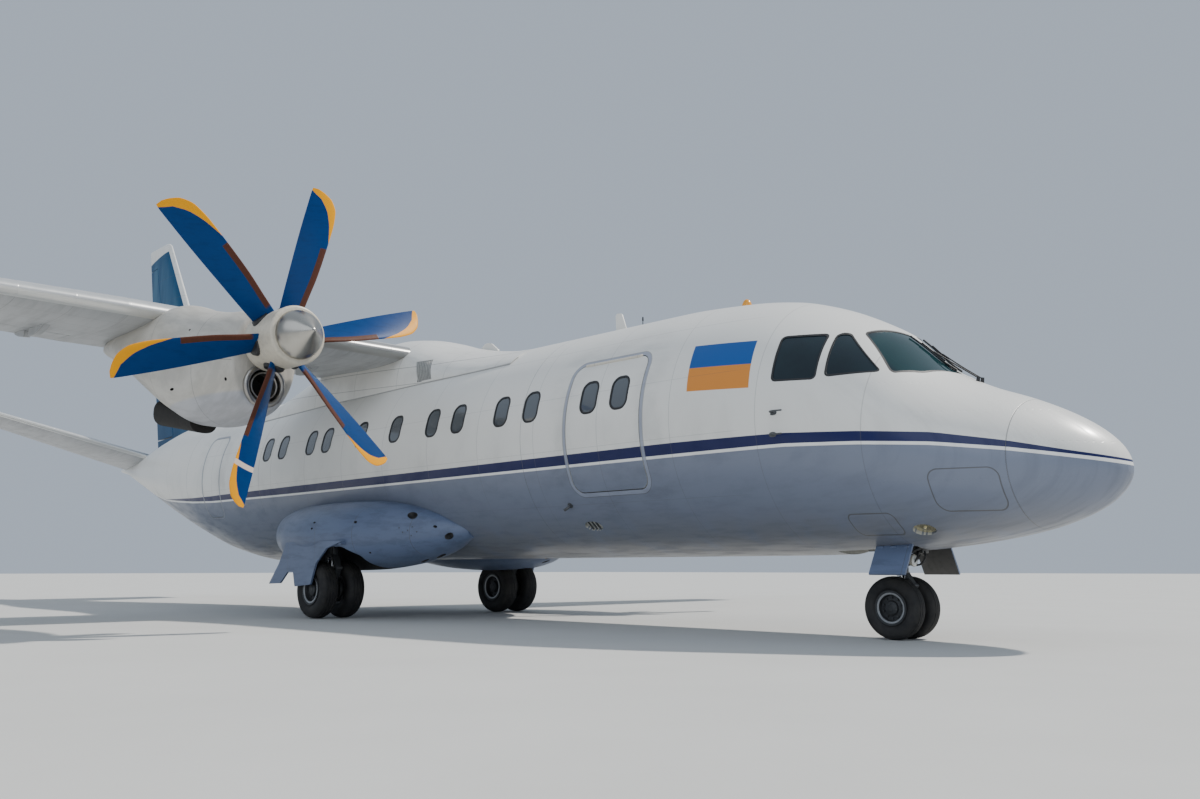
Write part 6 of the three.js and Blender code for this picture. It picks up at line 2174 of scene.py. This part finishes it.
antennas = [
    blade_antenna(5.960, 0.200, 0.110, 0.300, 0.110, 0.016),
    blade_antenna(8.560, 0.520, 0.140, 0.150, 0.200, 0.030, 3.850),
]
finished("antennas", merged(*antennas), "airframe", fairing_paint, slot="white_paint")
mast_foot = on_roof(0.0, 5.700, -0.006)
mast = merged(
    rod(mast_foot, mast_foot + up * 0.130, 0.007, 0.005, 16),
    rod(mast_foot + up * 0.125, mast_foot + up * 0.175, 0.011, 0.009, 16, 0.002),
    rod(mast_foot, mast_foot + up * 0.012, 0.026, 0.022, 24, 0.002),
)
finished("roof_mast", mast, "airframe", black_trim, slot="tyre_rubber")

# %% Taxi lamp on the nose leg
y = NOSE["station"] - HALF_LENGTH
lamp_centre = Vector((-0.105, y - 0.155, 0.765))
shell_profile = [(0.0, 0.0), (0.0, 0.030), (-0.020, 0.050), (-0.045, 0.060), (-0.058, 0.060), (-0.058, 0.0)]
shell = turned(shell_profile, lamp_centre, lamp_centre + Vector((0, 1, 0)), 40)
bracket = merged(
    rod((-0.100, y - 0.155, 0.765), (-0.030, y - 0.050, 0.775), 0.014, sides=20, bevel=0.002),
    rod((-0.100, y - 0.155, 0.790), (-0.030, y - 0.050, 0.830), 0.010, sides=20, bevel=0.002),
)
finished("taxi_lamp_shell", merged(shell, bracket), "airframe", hub_cream, slot="white_paint")
face = lamp_centre - Vector((0, 0.0585, 0))
lens_profile = [(0.0, 0.0), (0.0, 0.054), (-0.006, 0.046), (-0.010, 0.030), (-0.012, 0.0)]
lens = turned(lens_profile, face, face + Vector((0, 1, 0)), 40)
finished("taxi_lamp_lens", lens, "airframe", lens_glass, slot="glazing")
print("small parts done")

# %% [markdown]
# ## Flap guides
# Each flap runs on guides that hang below the wing in slim fairings. The front half of a fairing is
# fixed to the wing, the rear half turns with the flap, so the two halves are separate pieces.

# %% Flap guide fairings
GUIDE_WIDTH, INNER_GUIDES, OUTER_GUIDES = 0.085, (1.650, 3.250), (5.450, 7.750)


def guide_half(x, outline):
    """A slim pod under the wing from (distance behind the hinge, drop below the wing) points."""
    section = wing_section(x)
    points = []
    for behind, drop in outline:
        fraction = min(0.985, max(0.05, FLAP_HINGE + behind / section["chord"]))
        half, line = foil(fraction, section["thick"], section["camber"])
        under = section["height"] + section["chord"] * (line - half) - section["drop"] * fraction
        station = section["edge"] + section["chord"] * FLAP_HINGE + behind
        points.append(at(x - GUIDE_WIDTH / 2, station, under - drop))
    return pushed(points, (GUIDE_WIDTH, 0, 0), GUIDE_WIDTH * 0.42, 5)


def guides(side, places, outline):
    return merged(*[guide_half(side * x, outline) for x in places])


FIXED_GUIDE = [(-0.620, -0.012), (-0.520, 0.030), (-0.300, 0.085), (-0.030, 0.105), (-0.030, -0.012)]
MOVING_GUIDE = [(0.150, -0.010), (0.175, 0.085), (0.420, 0.060), (0.600, 0.004), (0.520, -0.006)]
for side, name in SIDES:
    fixed = guides(side, INNER_GUIDES + OUTER_GUIDES, FIXED_GUIDE)
    finished(f"guide_fronts_{name}", fixed, "airframe", wing_paint, slot="grey_paint")
    for place, places in (("inner", INNER_GUIDES), ("outer", OUTER_GUIDES)):
        moving = guides(side, places, MOVING_GUIDE)
        body = f"flap_{place}_{name}"
        finished(f"{place}_guide_rears_{name}", moving, body, wing_paint, slot="grey_paint")
print("guides done")

# %% [markdown]
# ## Floor

# %% Floor
floor_mesh = bmesh.new()
bmesh.ops.create_grid(floor_mesh, x_segments=2, y_segments=2, size=150.0)
floor_finish = Finish("pale_floor", 0.85)
speckle = floor_finish.noise(0.6, 6.0, 0.6)
floor_finish.put("Base Color", floor_finish.mix(speckle, (0.52, 0.52, 0.50), (0.60, 0.60, 0.58)))
floor = as_object(floor_mesh, "floor")
floor.data.materials.append(floor_finish.material)
